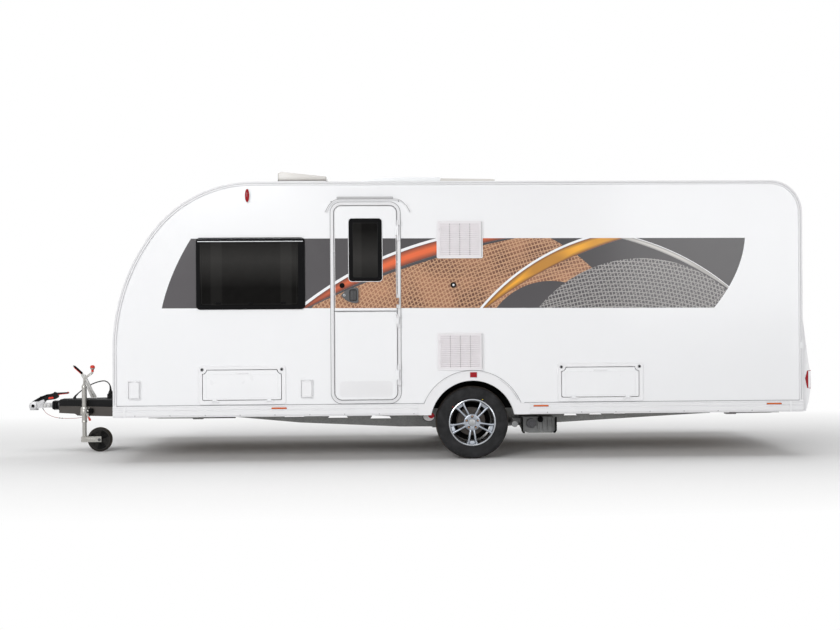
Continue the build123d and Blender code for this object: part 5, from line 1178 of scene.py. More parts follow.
class CARAVAN_OT_windows(bpy.types.Operator):
    """Windows: pane with the blind's guides behind it, black border, rubber seal, hinge rail and latches."""

    bl_idname = "caravan.windows"
    bl_label = "Windows"

    def execute(self, context):
        panes, seals, borders, rails, latches, guides = (Shell() for _ in range(6))
        for face, w, h in WINDOWS:
            half_w, half_h = w * MM / 2, h * MM / 2
            seals.bezel(face, w + 10, h + 10, 36, 8, -3, base=-13.8)
            panes.pad(face, w - 58, h - 62, 26, 0.8, edge=0.6)
            borders.bezel(face, w - 0.4, h - 0.4, 30, 30, 1.8, edge=1.2)
            top = half_h - 0.03
            rails.pad(face.moved(0.0, top), w - 20, 6.5, 3, 5.2, edge=1.2, n=3)
            borders.pad(face.moved(0.0, top + 0.014), w - 12, 18, 5, 6.2, edge=2, n=3)
            stile = face.moved(half_w - 0.034, -0.012)
            borders.pad(stile, 46, h - 64, 6, 2.6, edge=1, n=3)
            guides.bezel(face.moved(-0.012, -0.01), w - 110, h - 104, 14, 2.8, 1.4, edge=0.6)
            rails.pad(face.moved(0.0, top + 0.0245), w - 30, 1.8, 0.8, 6.6, edge=0.4, n=2)
            for u in (-0.6 * half_w, 0.0, 0.6 * half_w):
                latch = face.moved(u, 0.052 - half_h)
                latches.pad(latch, 52, 20, 8, 4, edge=1.6, n=4)
                latches.pad(latch.moved(0.01, 0.0, 0.004), 20, 11, 4, 3.5, edge=1.2, n=3)
        nose = side_curve(-0.0026, 0.02)
        nose = nose[(nose[:, 0] < 0) & (nose[:, 1] > 1.196) & (nose[:, 1] < 1.724)]
        half_y = 0.76
        for y in (-half_y, 0.0, half_y):
            bar = np.stack([nose[:, 0], np.full(len(nose), y), nose[:, 1]], -1)
            borders.sweep(bar, section_flat(26, 7, 2.5), up_hint=(-1, 0, 0.4))
        for k in (0, -1):
            edge = polyline([(nose[k, 0], y, nose[k, 1]) for y in (-half_y, half_y)], 0.1)
            borders.sweep(edge, section_flat(24, 7, 2.5), up_hint=(-1, 0, 0.4))
        panes.piece("window_panes", "pane", "window_black")
        seals.piece("window_seals", "rubber_black", "rubber_black")
        borders.piece("window_borders", "window_frame", "window_black")
        rails.piece("window_rails", "window_rail", "galvanised")
        latches.piece("window_latches", "window_frame", "black_plastic")
        guides.piece("window_blind_guides", "window_guide", "black_plastic")
        return {"FINISHED"}


class CARAVAN_OT_door(bpy.types.Operator):
    """Stable door: seals, edgings, framed window, knob and catch, lock, gutter, light and kick plate."""

    bl_idname = "caravan.door"
    bl_label = "Entrance door"

    def execute(self, context):
        seal = context.scene.caravan_sizes.seal / MM
        face_y, x_mid, z_mid = -1.123, -0.365, 1.413
        knob_x, knob_z, lock_x, lock_z = -0.576, 1.568, -0.556, 1.48
        frame_lip, light = Shell(), Shell()
        middle = left(-WALL_Y, x_mid, z_mid)
        frame_lip.bezel(middle, 634, 1812, 100, 6, 4.6, edge=1.5, n=10)
        frame_lip.piece("door_frame_seal", "seam_grey", "rubber_black")
        ridge = Shell()
        outer = left(face_y, x_mid, z_mid)
        ridge.bezel(outer, 616, 1794, 92, 10, 2.2, edge=1, n=10)
        ridge.bezel(outer, 586, 1764, 78, 5, 3, edge=1.2, n=10)
        ridge.piece("door_frame_ridges", "rail_white", "trim_white")

        glass = left(face_y, -0.366, 1.8865)
        border, line, pane, halo = Shell(), Shell(), Shell(), Shell()
        halo.bezel(glass, 308, 573, 34, 6.2, 8.5, edge=2, n=8)
        border.bezel(glass, 295.5, 560.5, 30, 34, 12.4, edge=3, n=8, base=0)
        line.bezel(glass.moved(0.0, -0.004), 226, 490, 22, 3.5, 11.2, edge=0.8, n=8, base=9)
        pane.pad(glass, 226, 490, 16, 10.6, edge=0.4, base=9)
        halo.piece("door_window_seal", "trim_white", "trim_white", "door_upper_leaf")
        border.piece("door_window_border", "window_frame", "window_black", "door_upper_leaf")
        line.piece("door_window_line", "window_guide", "black_plastic", "door_upper_leaf")
        pane.piece("door_window_pane", "pane", "window_black", "door_upper_leaf")

        x0, x1, r, inner = -0.644, -0.086, 0.064, 0.004
        for leaf, z0, z1 in (("upper", 1.34, 2.281), ("lower", 0.545, 1.334)):
            body = f"door_{leaf}_leaf"
            edging = Shell()
            if leaf == "upper":
                corners = [arc((x0 + r, z1 - r), r - inner, 180, 90, 9),
                           arc((x1 - r, z1 - r), r - inner, 90, 0, 9)]
                loop = np.concatenate([[(x0 + inner, z0 + inner)], *corners, [(x1 - inner, z0 + inner)]])
            else:
                corners = [arc((x1 - r, z0 + r), r - inner, 0, -90, 9),
                           arc((x0 + r, z0 + r), r - inner, 270, 180, 9)]
                loop = np.concatenate([[(x1 - inner, z1 - inner)], *corners, [(x0 + inner, z1 - inner)]])
            path = polyline(np.concatenate([loop, loop[:1]]), 0.05)
            edging.sweep(on_wall(-1, path[:-1], 1.1236), section_round(3, 8), up_hint=ACROSS, loop=True)
            edging.piece(f"door_{leaf}_edging", "rail_white", "trim_white", body)
            gasket = Shell()
            inside = left(-1.084, (x0 + x1) / 2, (z0 + z1) / 2)
            w, h = (x1 - x0) / MM, (z1 - z0) / MM
            gasket.bezel(inside, w - 2, h - 2, 60, seal, -1.2, edge=0.8, n=6, base=-3.5)
            gasket.piece(f"door_{leaf}_gasket", "rubber_black", "rubber_black", body)

        caps = Shell()
        knob = left(-1.1448, knob_x, knob_z)
        caps.knob(knob, ((0, -2), (15, -2), (15.8, 0), (15, 2.2), (12.5, 3.2), (8, 2.6), (4, 3.4),
                         (0, 3.4)), 28)
        caps.knob(left(face_y, knob_x, knob_z), ((0, 0), (23, 0), (22.5, 3.5), (17, 5.5), (15.5, 5.5)), 28)
        caps.piece("door_retainer_knob", "box_black", "black_plastic", "door_upper_leaf")
        catch = Shell()
        place = left(-WALL_Y, 0.422, knob_z)
        catch.knob(place, ((0, 0), (26, 0), (25, 6), (19, 9), (18.6, 18.5), (20.5, 19.5), (20.5, 23.5),
                           (18.5, 25), (11, 25), (10, 22), (0, 21.5)), 32)
        catch.piece("door_wall_catch", "box_black", "black_plastic")

        lock, paddle = Shell(), Shell()
        barrel = left(-1.147, lock_x, lock_z)
        lock.knob(barrel, ((0, -1), (11.5, -1), (11.5, 1.2), (9.8, 2.2), (0, 2.2)), 28)
        lock.pad(left(-1.1492, lock_x, lock_z), 2.2, 10, 0.8, 0.6, edge=0.2, n=2)
        lock.piece("door_lock_barrel", "cap_grey", "galvanised", "door_upper_leaf")
        paddle.bezel(left(-1.147, -0.477, lock_z), 66, 104, 14, 4, 1.2, edge=0.8, n=5)
        for rise in np.linspace(-0.036, 0.036, 9):
            paddle.pad(left(-1.143, -0.475, lock_z + rise), 20, 2.8, 1, 1, edge=0.5, n=2)
        paddle.piece("door_handle_trim", "box_black", "black_plastic", "door_upper_leaf")

        light.pad(left(-WALL_Y, -0.3675, 2.352), 505, 20, 8, 30, edge=5, n=5)
        light.piece("door_light_bar", "light_grey", "trim_white")
        dots = Shell()
        for x, z in ((-0.668, 2.318), (-0.066, 2.322)):
            dots.knob(left(-1.133, x, z), ((0, -2), (6.5, -2), (6, 1.4), (0, 2)), 16)
        dots.piece("gutter_end_caps", "seam_grey", "trim_white")
        gutter = Shell()
        start, end = [(-0.723, 2.226), (-0.69, 2.285)], [(0.003, 2.285), (0.036, 2.226)]
        first, second = arc((-0.6, 2.25), 0.09, 150, 90, 5)[1:], arc((-0.095, 2.24), 0.1, 82, 30, 5)
        run = np.concatenate([start, first, [(-0.095, 2.34)], second, end])
        gutter.sweep(on_wall(-1, polyline(run, 0.04), 1.1335), section_flat(4.5, 3.5, 1.2), up_hint=ACROSS)
        gutter.piece("gutter_lip", "seam_grey", "trim_white")
        plate = Shell()
        plate.pad(left(-1.1232, x_mid, 0.64), 470, 140, 30, 0.8, edge=0.5, n=6)
        plate.piece("door_kick_plate", "rail_white", "trim_white", "door_lower_leaf")
        return {"FINISHED"}


class CARAVAN_OT_vents(bpy.types.Operator):
    """Fridge vents: slanted blades behind the lattice, a raised rim, two catches at the left edge and a
    painted shadow along the right.
    """

    bl_idname = "caravan.vents"
    bl_label = "Fridge vents"

    def execute(self, context):
        blades, rims, catches, backs, dots, ridge = (Shell() for _ in range(6))
        pitch_x, pitch_z = 0.362 / 4, 0.288 / 17
        section = np.array([(-0.0045, -0.0075), (-0.0032, -0.0078), (0.0046, 0.0052), (0.0036, 0.006)])
        for z in (1.977, 0.971):
            face = left(-WALL_Y, 0.481, z)
            backs.pad(face, 372, 298, 4, 1.6, edge=0.4, n=2, base=-30)
            rims.bezel(face.moved(0, 0, 0.014), 412, 338, 14, 7.5, 2.2, edge=1)
            rims.bezel(face.moved(0, 0, 0.014), 376, 302, 6, 3, 1.6, edge=0.7)
            for u in np.arange(-1.5, 2) * pitch_x:
                for row in range(17):
                    v = (row - 8) * pitch_z
                    ends = face.at(np.array([u - 0.0415, u + 0.0415]), np.full(2, v), np.full(2, 0.0075))
                    blades.sweep(ends, section, up_hint=face.v)
            for v in (-0.088, 0.088):
                place = face.moved(-0.178, v, 0.014)
                catches.pad(place, 20, 46, 6, 5, edge=1.4, n=4)
                catches.pad(place.moved(0, 0, 0.005), 5, 28, 2, 2.2, edge=0.6, n=2)
            for u in (-pitch_x, 0.0, pitch_x):
                for row in range(17):
                    dots.pad(face.moved(u, (row - 8) * pitch_z, 0.014), 8.5, 6.2, 1.5, 0.6, edge=0.3, n=2)
            for u in np.arange(-1.5, 2) * pitch_x:
                for row in range(18):
                    dots.pad(face.moved(u, (row - 8.5) * pitch_z, 0.0065), 80, 3, 1, 0.6, edge=0.2, n=2)
            # a grey line painted as the shadow along each vent's right edge
            ridge.pad(face.moved(0.1955, 0.0, 0.0162), 3.5, 318, 1.2, 0.6, edge=0.2, n=2)
        dots.piece("vent_shadow_gaps", "vent_gap", "vent_white", smooth=False)
        ridge.piece("vent_edge_painted_shadows", "seam_grey", "vent_white")
        backs.piece("vent_backs", "vent_white", "vent_white")
        blades.piece("vent_blades", "vent_white", "vent_white", smooth=False)
        rims.piece("vent_rims", "trim_white", "vent_white")
        catches.piece("vent_catches", "vent_white", "vent_white")
        return {"FINISHED"}


class CARAVAN_OT_lockers(bpy.types.Operator):
    """Locker doors and service flaps: raised rims, locks in the frames' corners, pull lips and screws."""

    bl_idname = "caravan.lockers"
    bl_label = "Lockers and flaps"

    def execute(self, context):
        rims, locks, slots, panels, gaps = (Shell() for _ in range(5))
        for name, x, side in (("front", -1.473, -1), ("rear", 1.744, -1), ("right", -1.473, 1)):
            face = side_frame(side, 1.125, x, 0.686)
            rims.bezel(face, 778, 346, 30, 7, 2.5, edge=1.2)
            for sign in (-1, 1):
                spot = face.moved(sign * 0.354, 0.138)
                locks.knob(spot, ((0, 0), (15, 0), (15, 3.5), (13, 5), (0, 5)), 28)
                slots.knob(spot.moved(0, 0, 0.005), ((0, -0.5), (8.5, -0.5), (8.5, 1.2), (7, 1.8),
                    (0, 1.8)), 24)
                slots.pad(spot.moved(0, 0, 0.0068), 1.8, 9, 0.6, 0.5, edge=0.2, n=2)
            body = "locker_" + name
            leaf = Shell()
            leaf.bezel(face.moved(0, -0.012), 640, 216, 16, 4.5, 2, edge=1.4)
            leaf.pad(face.moved(0, 0.105), 120, 12, 5, 6, edge=3, n=4)
            leaf.piece("locker_relief_" + name, "trim_white", "body_white", body)
        rims.piece("locker_rims", "trim_white", "trim_white")
        locks.piece("locker_locks", "seam_grey", "black_plastic")
        slots.piece("locker_keyholes", "box_black", "black_plastic")
        for name, x in (("front", -2.428), ("mid", -0.896)):
            face = left(-1.131, x, 0.643)
            flap = Shell()
            flap.bezel(face, 76, 128, 6, 4, 1.6, edge=0.8)
            flap.pad(face.moved(0, -0.058), 40, 10, 4, 5.5, edge=2, n=4)
            flap.piece("service_flap_lip_" + name, "trim_white", "trim_white", "service_flap_" + name)
            base = face.moved(0, 0.0055)
            panels.bezel(base, 109.6, 170.6, 10, 2.2, 1.4, edge=0.6)
            for u in (-0.05, 0.05):
                for v in (-0.062, 0.072):
                    gaps.knob(base.moved(u, v), ((0, -1), (2.2, -1), (2.1, 0.8), (0, 1)), 10)
        panels.piece("service_flap_rims", "trim_white", "trim_white")
        gaps.piece("service_flap_screws", "seam_grey", "galvanised")
        return {"FINISHED"}


class CARAVAN_OT_lamps(bpy.types.Operator):
    """Lamps: amber side markers, reflectors on the arches, tall red and white markers, rear clusters."""

    bl_idname = "caravan.lamps"
    bl_label = "Lamps"

    def execute(self, context):
        amber, red, clear, bezels, whites = (Shell() for _ in range(5))
        for side in (-1, 1):
            for x in (-1.142, 1.202, 3.32):
                face = side_frame(side, SKIRT_Y, x, 0.478)
                bezels.pad(face, 148, 20, 6, 5, edge=1.5)
                amber.pad(face.moved(0, 0, 0.005), 130, 12.8, 4, 5, edge=2, base=-1)
            arch = side_frame(side, SKIRT_Y, 0.596, 0.761)
            bezels.bezel(arch, 68, 52, 6, 5, 6.2, edge=1)
            amber.pad(arch.moved(0, 0, 0.005), 56, 40, 4, 2.4, edge=1.2, base=-4)
            tall = side_frame(side, 1.1335, -1.415, 2.375)
            whites.rings(tall, oval(23.5, 63.5, 40), ((0, -18.5), (0, 0), (1.2, 1.8), (3.6, 1.8),
                (4, -18.5)), closed=True)
            red.rings(tall, oval(19, 59, 40), ((0, -12), (0, 1.5), (3, 6), (9, 9.5), (14, 10.5)))
            # a thin pale strip painted as the highlight down the tall red marker's lens
            clear.pad(tall.moved(-0.002, 0.008, 0.0098), 3.4, 36, 3, 2, edge=1, base=-2)

            tail = rear(3.677, side * 0.9675, 0.69)
            bezels.bezel(tail, 236, 170, 12, 6, 1.6, edge=0.8, base=-20)
        lens_path = np.array([(3.6265, 0.7), (3.6445, 0.77), (3.679, 0.7715), (3.68, 0.61),
                              (3.6445, 0.612)])
        away = lens_path - lens_path.mean(0)
        away /= np.linalg.norm(away, axis=1, keepdims=True)
        rearmost = 3.6798
        for side in (-1, 1):
            for y0, y1, shell in ((0.862, 0.922, clear), (0.926, 0.996, amber), (1.0, 1.0845, red)):
                loops = []
                for y, grow in ((y0, -0.001), (y0 + 0.003, 0.0025), (y1 - 0.003, 0.0025), (y1, -0.001)):
                    x, z = (lens_path + away * grow).T
                    loops.append(np.stack([np.minimum(x, rearmost), np.full(5, side * y), z], -1))
                shell.grid(np.array(loops), loop_v=True, capped=True)
        amber.piece("lamp_ambers", "lamp_amber", "lamp_red")
        red.piece("lamp_reds", "lamp_red", "lamp_red")
        clear.piece("lamp_clears_and_marker_highlights", "lamp_clear", "lamp_red")
        bezels.piece("lamp_bezels", "skirt_white", "trim_white")
        whites.piece("lamp_rings", "trim_white", "trim_white")
        return {"FINISHED"}


class CARAVAN_OT_body_trim(bpy.types.Operator):
    """Awning rails with their bead slots, roof and front seams, skirt joints, screws and grab handles."""

    bl_idname = "caravan.body_trim"
    bl_label = "Body trim"

    def execute(self, context):
        beads, inserts_and_spat_shadow, joints, screws, seams, handles = (Shell() for _ in range(6))
        insert = context.scene.caravan_sizes.rail_insert / MM
        hub = (WHEEL_X, WHEEL_Z)
        for side in (-1, 1):
            beads.sweep(on_wall(side, side_curve(0.0065), 1.129), section_round(4.8, 8), up_hint=ACROSS)
            inserts_and_spat_shadow.sweep(on_wall(side, side_curve(0.017), 1.1312), section_flat(2.2, insert * 0.32, 0.8),
                          up_hint=ACROSS)
            for x in (-2.511, 3.476, 0.1025, 1.1035):
                face = side_frame(side, SKIRT_Y, x, 0.452)
                joints.pad(face, 5 if 0 < x < 2 else 22, 96, 2, 2, edge=1, n=3)
            face = side_frame(side, 1.131, 3.583, 1.005)
            joints.pad(face, 30, 55, 4, 3.5, edge=1, n=3)
            for x in (*np.arange(-2.42, 0.08, 0.31), *np.arange(1.26, 3.42, 0.31)):
                spot = side_frame(side, SKIRT_Y, x, 0.418)
                screws.knob(spot, ((0, -1), (5.5, -1), (5, 1.2), (3, 2), (0, 2)), 14)
            ahead = polyline([(-2.6, SKIRT_Z), (0.15, SKIRT_Z)], 0.4)
            behind = polyline([(1.056, SKIRT_Z), (3.58, SKIRT_Z)], 0.4)
            for line in (ahead, behind, arc(hub, 0.4715, 158, 22, 40)):
                seams.sweep(on_wall(side, line, 1.116), section_round(SEAM_R, 6), up_hint=ACROSS)
            lip = on_wall(side, arc(hub, 0.3835, 168, 12, 48), 1.1402)
            beads.sweep(lip, section_flat(4, 9, 1.5), up_hint=ACROSS)
            # a grey line painted as the shadow along the rear outer edge of the wheel spat, thinner towards
            # its top
            shadow = on_wall(side, arc(hub, 0.456, 60, 27, 20), 1.1402)
            fading = np.linspace(0.45, 1.0, 20)[:, None] * (1.0, 1.0)
            inserts_and_spat_shadow.sweep(shadow, section_flat(1.8, 10, 0.6), fading, up_hint=ACROSS)
            lip = on_wall(side, arc(hub, 0.464, 157, 23, 48), SKIRT_Y)
            beads.sweep(lip, section_flat(3.5, 6, 1.2), up_hint=ACROSS)
        for side in (-1, 1):
            seams.sweep(on_wall(side, side_curve(-0.0004), 1.083), section_round(SEAM_R, 6), up_hint=ACROSS)
        for x in (-1.3674, 3.302):
            across = polyline([(x, -1.08, 2.5004), (x, 1.08, 2.5004)], 0.3)
            seams.sweep(across, section_flat(16, 2.4, 1), up_hint=(0, 0, 1))
        grip = np.array([(0.0, -0.11, -0.002), (0.0, -0.108, 0.03), (0.0, -0.09, 0.046), (0.0, 0.09, 0.046),
                         (0.0, 0.108, 0.03), (0.0, 0.11, -0.002)])
        places = [(front(FRONT_X, y, 1.06), 0.5) for y in (-0.9, 0.9)]
        places += [(rear(REAR_X, y, 1.52), 0.55) for y in (-0.88, 0.88)]
        for face, out in places:
            path = face.at(grip[:, 0], grip[:, 1], grip[:, 2] * out)
            handles.sweep(path, section_flat(24, 14, 6), up_hint=face.u)
            for v in (-0.112, 0.112):
                handles.pad(face.moved(0.0, v), 44, 56, 16, 6, edge=3)
        beads.piece("awning_rail_beads", "rail_white", "skirt_white")
        inserts_and_spat_shadow.piece("awning_rail_slots_and_spat_shadows", "seam_grey", "skirt_white")
        joints.piece("skirt_joints", "skirt_white", "skirt_white")
        screws.piece("skirt_screws", "light_grey", "galvanised")
        seams.piece("body_seams", "seam_grey", "trim_white")
        handles.piece("grab_handles", "light_grey", "trim_white")

        lid = Shell()
        face = front(FRONT_X, 0.0, 0.7925)
        lid.bezel(face, 1240, 350, 30, 6, 3, edge=1.2)
        lid.bezel(face, 1100, 230, 24, 6, 2.2, edge=1.2)
        for u in (-0.4, 0.4):
            place = face.moved(u, -0.14)
            lid.pad(place, 90, 36, 8, 6, edge=2)
            lid.knob(place.moved(0, 0, 0.006), ((0, -1), (9, -1), (8.5, 2), (0, 2.4)), 20)
        lid.piece("gas_lid_relief", "trim_white", "body_white", "gas_locker_lid")
        return {"FINISHED"}


class CARAVAN_OT_roof(bpy.types.Operator):
    """Rooflight rims and bases, and the solar panel's cells and edge with its cable gland."""

    bl_idname = "caravan.roof"
    bl_label = "Roof"

    def execute(self, context):
        cells, bases = Shell(), Shell()
        for body, cx, cy, lx, ly, base in (("rooflight_lid_mini", -0.947, -0.6, 446, 446, 2.5424),
                ("rooflight_lid_midi", 0.601, 0.0, 549, 760, 2.5604)):
            rim = Shell()
            face = up(base, cx, cy)
            rim.bezel(face, lx + 3, ly + 3, 23, 3, 8.5, edge=1, n=6, base=1)
            rim.piece(body + "_edge", "dome_edge", "trim_white", body)
            foot = up(ROOF_Z, cx, cy)
            bases.bezel(foot, lx + 30, ly + 30, 30, 24, 6, edge=3, n=6)
        bases.piece("rooflight_bases", "trim_white", "trim_white")
        panel = up(2.562, -0.038, -0.66)
        cells.pad(panel, 690, 450, 4, 0.6, edge=0.3, n=2)
        cells.piece("solar_cells", "cell_blue", "panel_dark")
        edge = Shell()
        edge.bezel(panel, 719, 479, 4, 13, 1.6, edge=0.6, n=3)
        edge.piece("solar_panel_edge", "panel_edge", "panel_dark")
        gland = Shell()
        gland.knob(up(ROOF_Z, 0.356, -0.82), ((0, 0), (30, 0), (29, 10), (20, 22), (0, 26)), 28)
        gland.sweep(np.array([(0.322, -0.82, 2.535), (0.335, -0.82, 2.532), (0.35, -0.82, 2.522),
                              (0.356, -0.82, 2.512)]), section_round(4, 8), up_hint=NEAR_Y)
        gland.piece("solar_gland", "box_black", "black_plastic")
        return {"FINISHED"}


class CARAVAN_OT_rear(bpy.types.Operator):
    """Rear panel: moulding seams, blank plate recess and the high brake light."""

    bl_idname = "caravan.rear"
    bl_label = "Rear"

    def execute(self, context):
        seam, plate, lights, red = Shell(), Shell(), Shell(), Shell()
        y = np.linspace(-1.083, 1.083, 9)
        for x, z, wide in ((3.6395, 0.994, 4), (3.5935, 1.401, 5)):
            line = np.stack([np.full(9, x), y, np.full(9, z)], -1)
            seam.sweep(line, section_flat(wide, 6, 1.5), up_hint=(1, 0, 0.1))
        seam.piece("rear_moulding_seams", "seam_grey", "trim_white")
        plate_place = Frame3((3.653, 0.0, 0.485), (0, 1, 0), (0.222, 0, 0.975))
        plate.bezel(plate_place, 560, 122, 16, 12, 10, edge=3, base=-12)
        plate.pad(plate_place, 536, 98, 6, 5.5, edge=1, base=-10)
        plate.piece("rear_plate_recess", "trim_white", "trim_white")
        high = rear(REAR_X, 0.0, 2.12)
        lights.pad(high, 340, 40, 16, 16, edge=5)
        red.pad(high.moved(0, 0, 0.016), 300, 20, 8, 4, edge=2, base=-2)
        lights.piece("rear_brake_light_base", "trim_white", "trim_white")
        red.piece("rear_brake_light", "lamp_red", "lamp_red")
        return {"FINISHED"}


# ---------------------------------------------------------------- pieces: hitch
HITCH_Z = 0.438  # axis of the coupling's shank and the gaiter
COVER_Z = 0.5003  # top of the drawbar's cover
TUBE_X = -3.104  # axis of the jockey wheel's tube
CLAMP_Z = 0.394  # middle of the clamp on that tube
def lathe_along_x(shell, profile, n):
    """A turned form on the coupling's axis: profile holds (radius, x) pairs in millimetres."""
    return shell.knob(Frame3((0.0, 0.0, HITCH_Z), (0, 1, 0), (0, 0, 1)), profile, n)


def plate_outline(shell, points, y0, y1, ease=0.0015):
    """A flat plate between two Y levels from an outline in (x, z), with its edges eased."""
    points = np.asarray(points, float)
    middle = points.mean(0)
    drawn = points + (middle - points) / np.linalg.norm(middle - points, axis=1, keepdims=True) * ease
    levels = ((drawn, y0), (points, y0 + ease), (points, y1 - ease), (drawn, y1))
    loops = [np.stack([p[:, 0], np.full(len(p), y), p[:, 1]], -1) for p, y in levels]
    return shell.grid(np.array(loops), loop_v=True, capped=True)


class CARAVAN_OT_hitch(bpy.types.Operator):
    """Coupling head trim with its red insets, bolts, the folded gaiter, cover ribs and the handbrake."""

    bl_idname = "caravan.hitch"
    bl_label = "Hitch"

    def execute(self, context):
        silver, black, red = Shell(), Shell(), Shell()
        for side in (-1, 1):
            hub = side_frame(side, 0.04, -3.636, 0.434)
            silver.knob(hub, ((0, -10), (40, -10), (39.5, -2), (35, 3), (18, 4.5), (16.5, 3), (0, 3)), 40)
            black.knob(hub, ((0, 0), (15, 0), (15, 4.5), (11.5, 7.5), (9.5, 6.2), (0, 6.2)), 28)
            y0, y1 = sorted((side * 0.0315, side * 0.0352))
            plate_outline(silver, [(-3.64, 0.3945), (-3.602, 0.406), (-3.577, 0.428), (-3.552, 0.457),
                                   (-3.524, 0.476), (-3.531, 0.498), (-3.556, 0.491), (-3.588, 0.476),
                                   (-3.648, 0.4735)], y0, y1, 0.0012)
            y0, y1 = sorted((side * 0.0225, side * 0.025))
            plate_outline(red, [(-3.493, 0.5), (-3.444, 0.505), (-3.441, 0.517), (-3.452, 0.522),
                                (-3.491, 0.517)], y0, y1, 0.001)
            plate_outline(black, [(-3.6, 0.49), (-3.56, 0.496), (-3.52, 0.526), (-3.47, 0.54),
                                  (-3.47, 0.548), (-3.53, 0.538), (-3.585, 0.512)], y0, y1, 0.001)
        red.sweep(polyline([(-3.398, 0.0, 0.543), (-3.31, 0.0, 0.552)], 0.02), section_flat(47.5, 7.5, 3))
        red.knob(Frame3((-3.306, 0.0, 0.559), (0, 1, 0), (-0.1, 0, 0.995)),
                 ((0, -12), (9, -10), (10.2, 0), (9, 6.5), (0, 8)), 20)
        for x in np.linspace(-3.575, -3.455, 9):
            z = 0.5215 + (x + 3.575) * 0.26
            black.sweep(np.array([(x, -0.019, z), (x, 0.019, z)]), section_round(3, 8))
        silver.piece("coupling_bands", "cast_silver", "galvanised")
        black.piece("coupling_black_trim", "box_black", "black_plastic")
        red.piece("coupling_red_trim", "lever_red", "black_plastic")

        shank = Shell()
        for side in (-1, 1):
            face = side_frame(side, 0.0262, -3.502, HITCH_Z)
            shank.bezel(face, 80, 38, 4, 3, 1.6, edge=0.6, n=3)
            for u in (-0.02, 0.02):
                shank.knob(face.moved(side * u, 0.0), ((0, 6), (13.6, 6), (13.6, 10.5), (10, 12), (0, 12)),
                           6)
        shank.piece("coupling_bolts", "galvanised_bright", "galvanised", smooth=False)

        folds = [(0, -3455.5), (37.5, -3455.5), (40.5, -3452), (40.5, -3447)]
        for x in (-3444, -3424.5, -3405):
            folds += [(33, x), (37.5, x + 3), (47.8, x + 7), (48.4, x + 9.2), (47.8, x + 11.4),
                      (37.5, x + 15.5)]
        folds += [(33, -3386.5), (40, -3385), (0, -3385)]
        bellows = Shell()
        lathe_along_x(bellows, folds, 48)
        made = bellows.piece("gaiter_folds", "rubber_black", "rubber_black")
        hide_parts("gaiter")
        clip = Shell()
        for x in (-3450, -3388):
            lathe_along_x(clip, ((41.2, x - 3), (42.5, x - 2.2), (42.5, x + 2.2), (41.2, x + 3)), 40)
        clip.piece("gaiter_clips", "dark_steel", "galvanised")

        ribs = Shell()
        for y in (-0.04, 0.04):
            line = polyline([(-3.15, y * 1.3, COVER_Z), (-2.66, y * 3.6, COVER_Z)], 0.06)
            ribs.sweep(line, section_flat(12, 5, 2))
        for x in (-3.12, -3.02):
            line = polyline([(x, -0.08, COVER_Z), (x, 0.08, COVER_Z)], 0.04)
            ribs.sweep(line, section_flat(7, 4, 1.5))
        for side in (-1, 1):
            lower = np.array([(-3.372, side * 0.0665, 0.44), (-2.645, side * 0.2525, 0.44)])
            ribs.sweep(polyline(lower, 0.06), section_flat(4, 9, 1.5))
        socket = up(0.54, PLUG_X, MAIN_Y)
        ribs.bezel(socket, 58, 62, 11, 5, 2, edge=1, n=5, base=-4)
        ribs.piece("drawbar_cover_ribs", "black_plastic", "black_plastic")

        bars, grip_black, grip_red = Shell(), Shell(), Shell()
        foot_z = 0.508
        for y in (-0.0105, 0.0105):
            for x0, x1, t0, t1 in ((-3.072, -3.058, -3.181, -3.166), (-3.044, -3.03, -3.156, -3.142)):
                plate_outline(bars, [(x0, foot_z), (x1, foot_z), (t1 + 0.002, 0.738), (t0, 0.738)],
                              y - 0.0022, y + 0.0022, 0.0008)
            for k in range(6):
                z = 0.545 + k * 0.034
                x = -3.06 - (z - foot_z) * 0.4783
                plate_outline(bars, [(x, z), (x + 0.018, z), (x + 0.016, z + 0.0055),
                                     (x - 0.002, z + 0.0055)], y - 0.0015, y + 0.0015, 0.0005)
        foot = Frame3((-3.051, 0.0, 0.5045), (1, 0, 0), (0, 1, 0))
        bars.pad(foot, 70, 40, 6, 6, edge=1.5)
        bars.piece("handbrake_bars", "galvanised_bright", "galvanised")
        heel, tip = np.array((-3.166, 0.0, 0.744)), np.array((-3.25, 0.0, 0.8225))
        way = (tip - heel) / np.linalg.norm(tip - heel)
        under = np.array((-way[2], 0, way[0]))
        t = np.linspace(0, 1, 9)
        path = heel + (tip - heel) * t[:, None]
        size = np.stack([np.full(9, 1.0), 1.0 + 0.16 * np.cos(np.pi * (t - 0.1) * 2.2) ** 2], -1)
        size[0], size[-1] = (0.82, 0.8), (0.75, 0.72)
        grip_black.sweep(path, section_flat(20.5, 20.5, 6, 3), size, up_hint=under)
        low = path + under * 0.0085
        grip_red.sweep(low[1:-1], section_flat(21.5, 8.5, 3, 3), up_hint=under)
        grip_black.knob(Frame3(tip, (0, 1, 0), under), ((0, -12), (6.8, -8), (7.5, -2), (6, 4), (0, 5.5)),
                        16)
        grip_black.piece("handbrake_grip", "box_black", "black_plastic")
        grip_red.piece("handbrake_grip_stripe", "lever_red", "black_plastic")
        return {"FINISHED"}


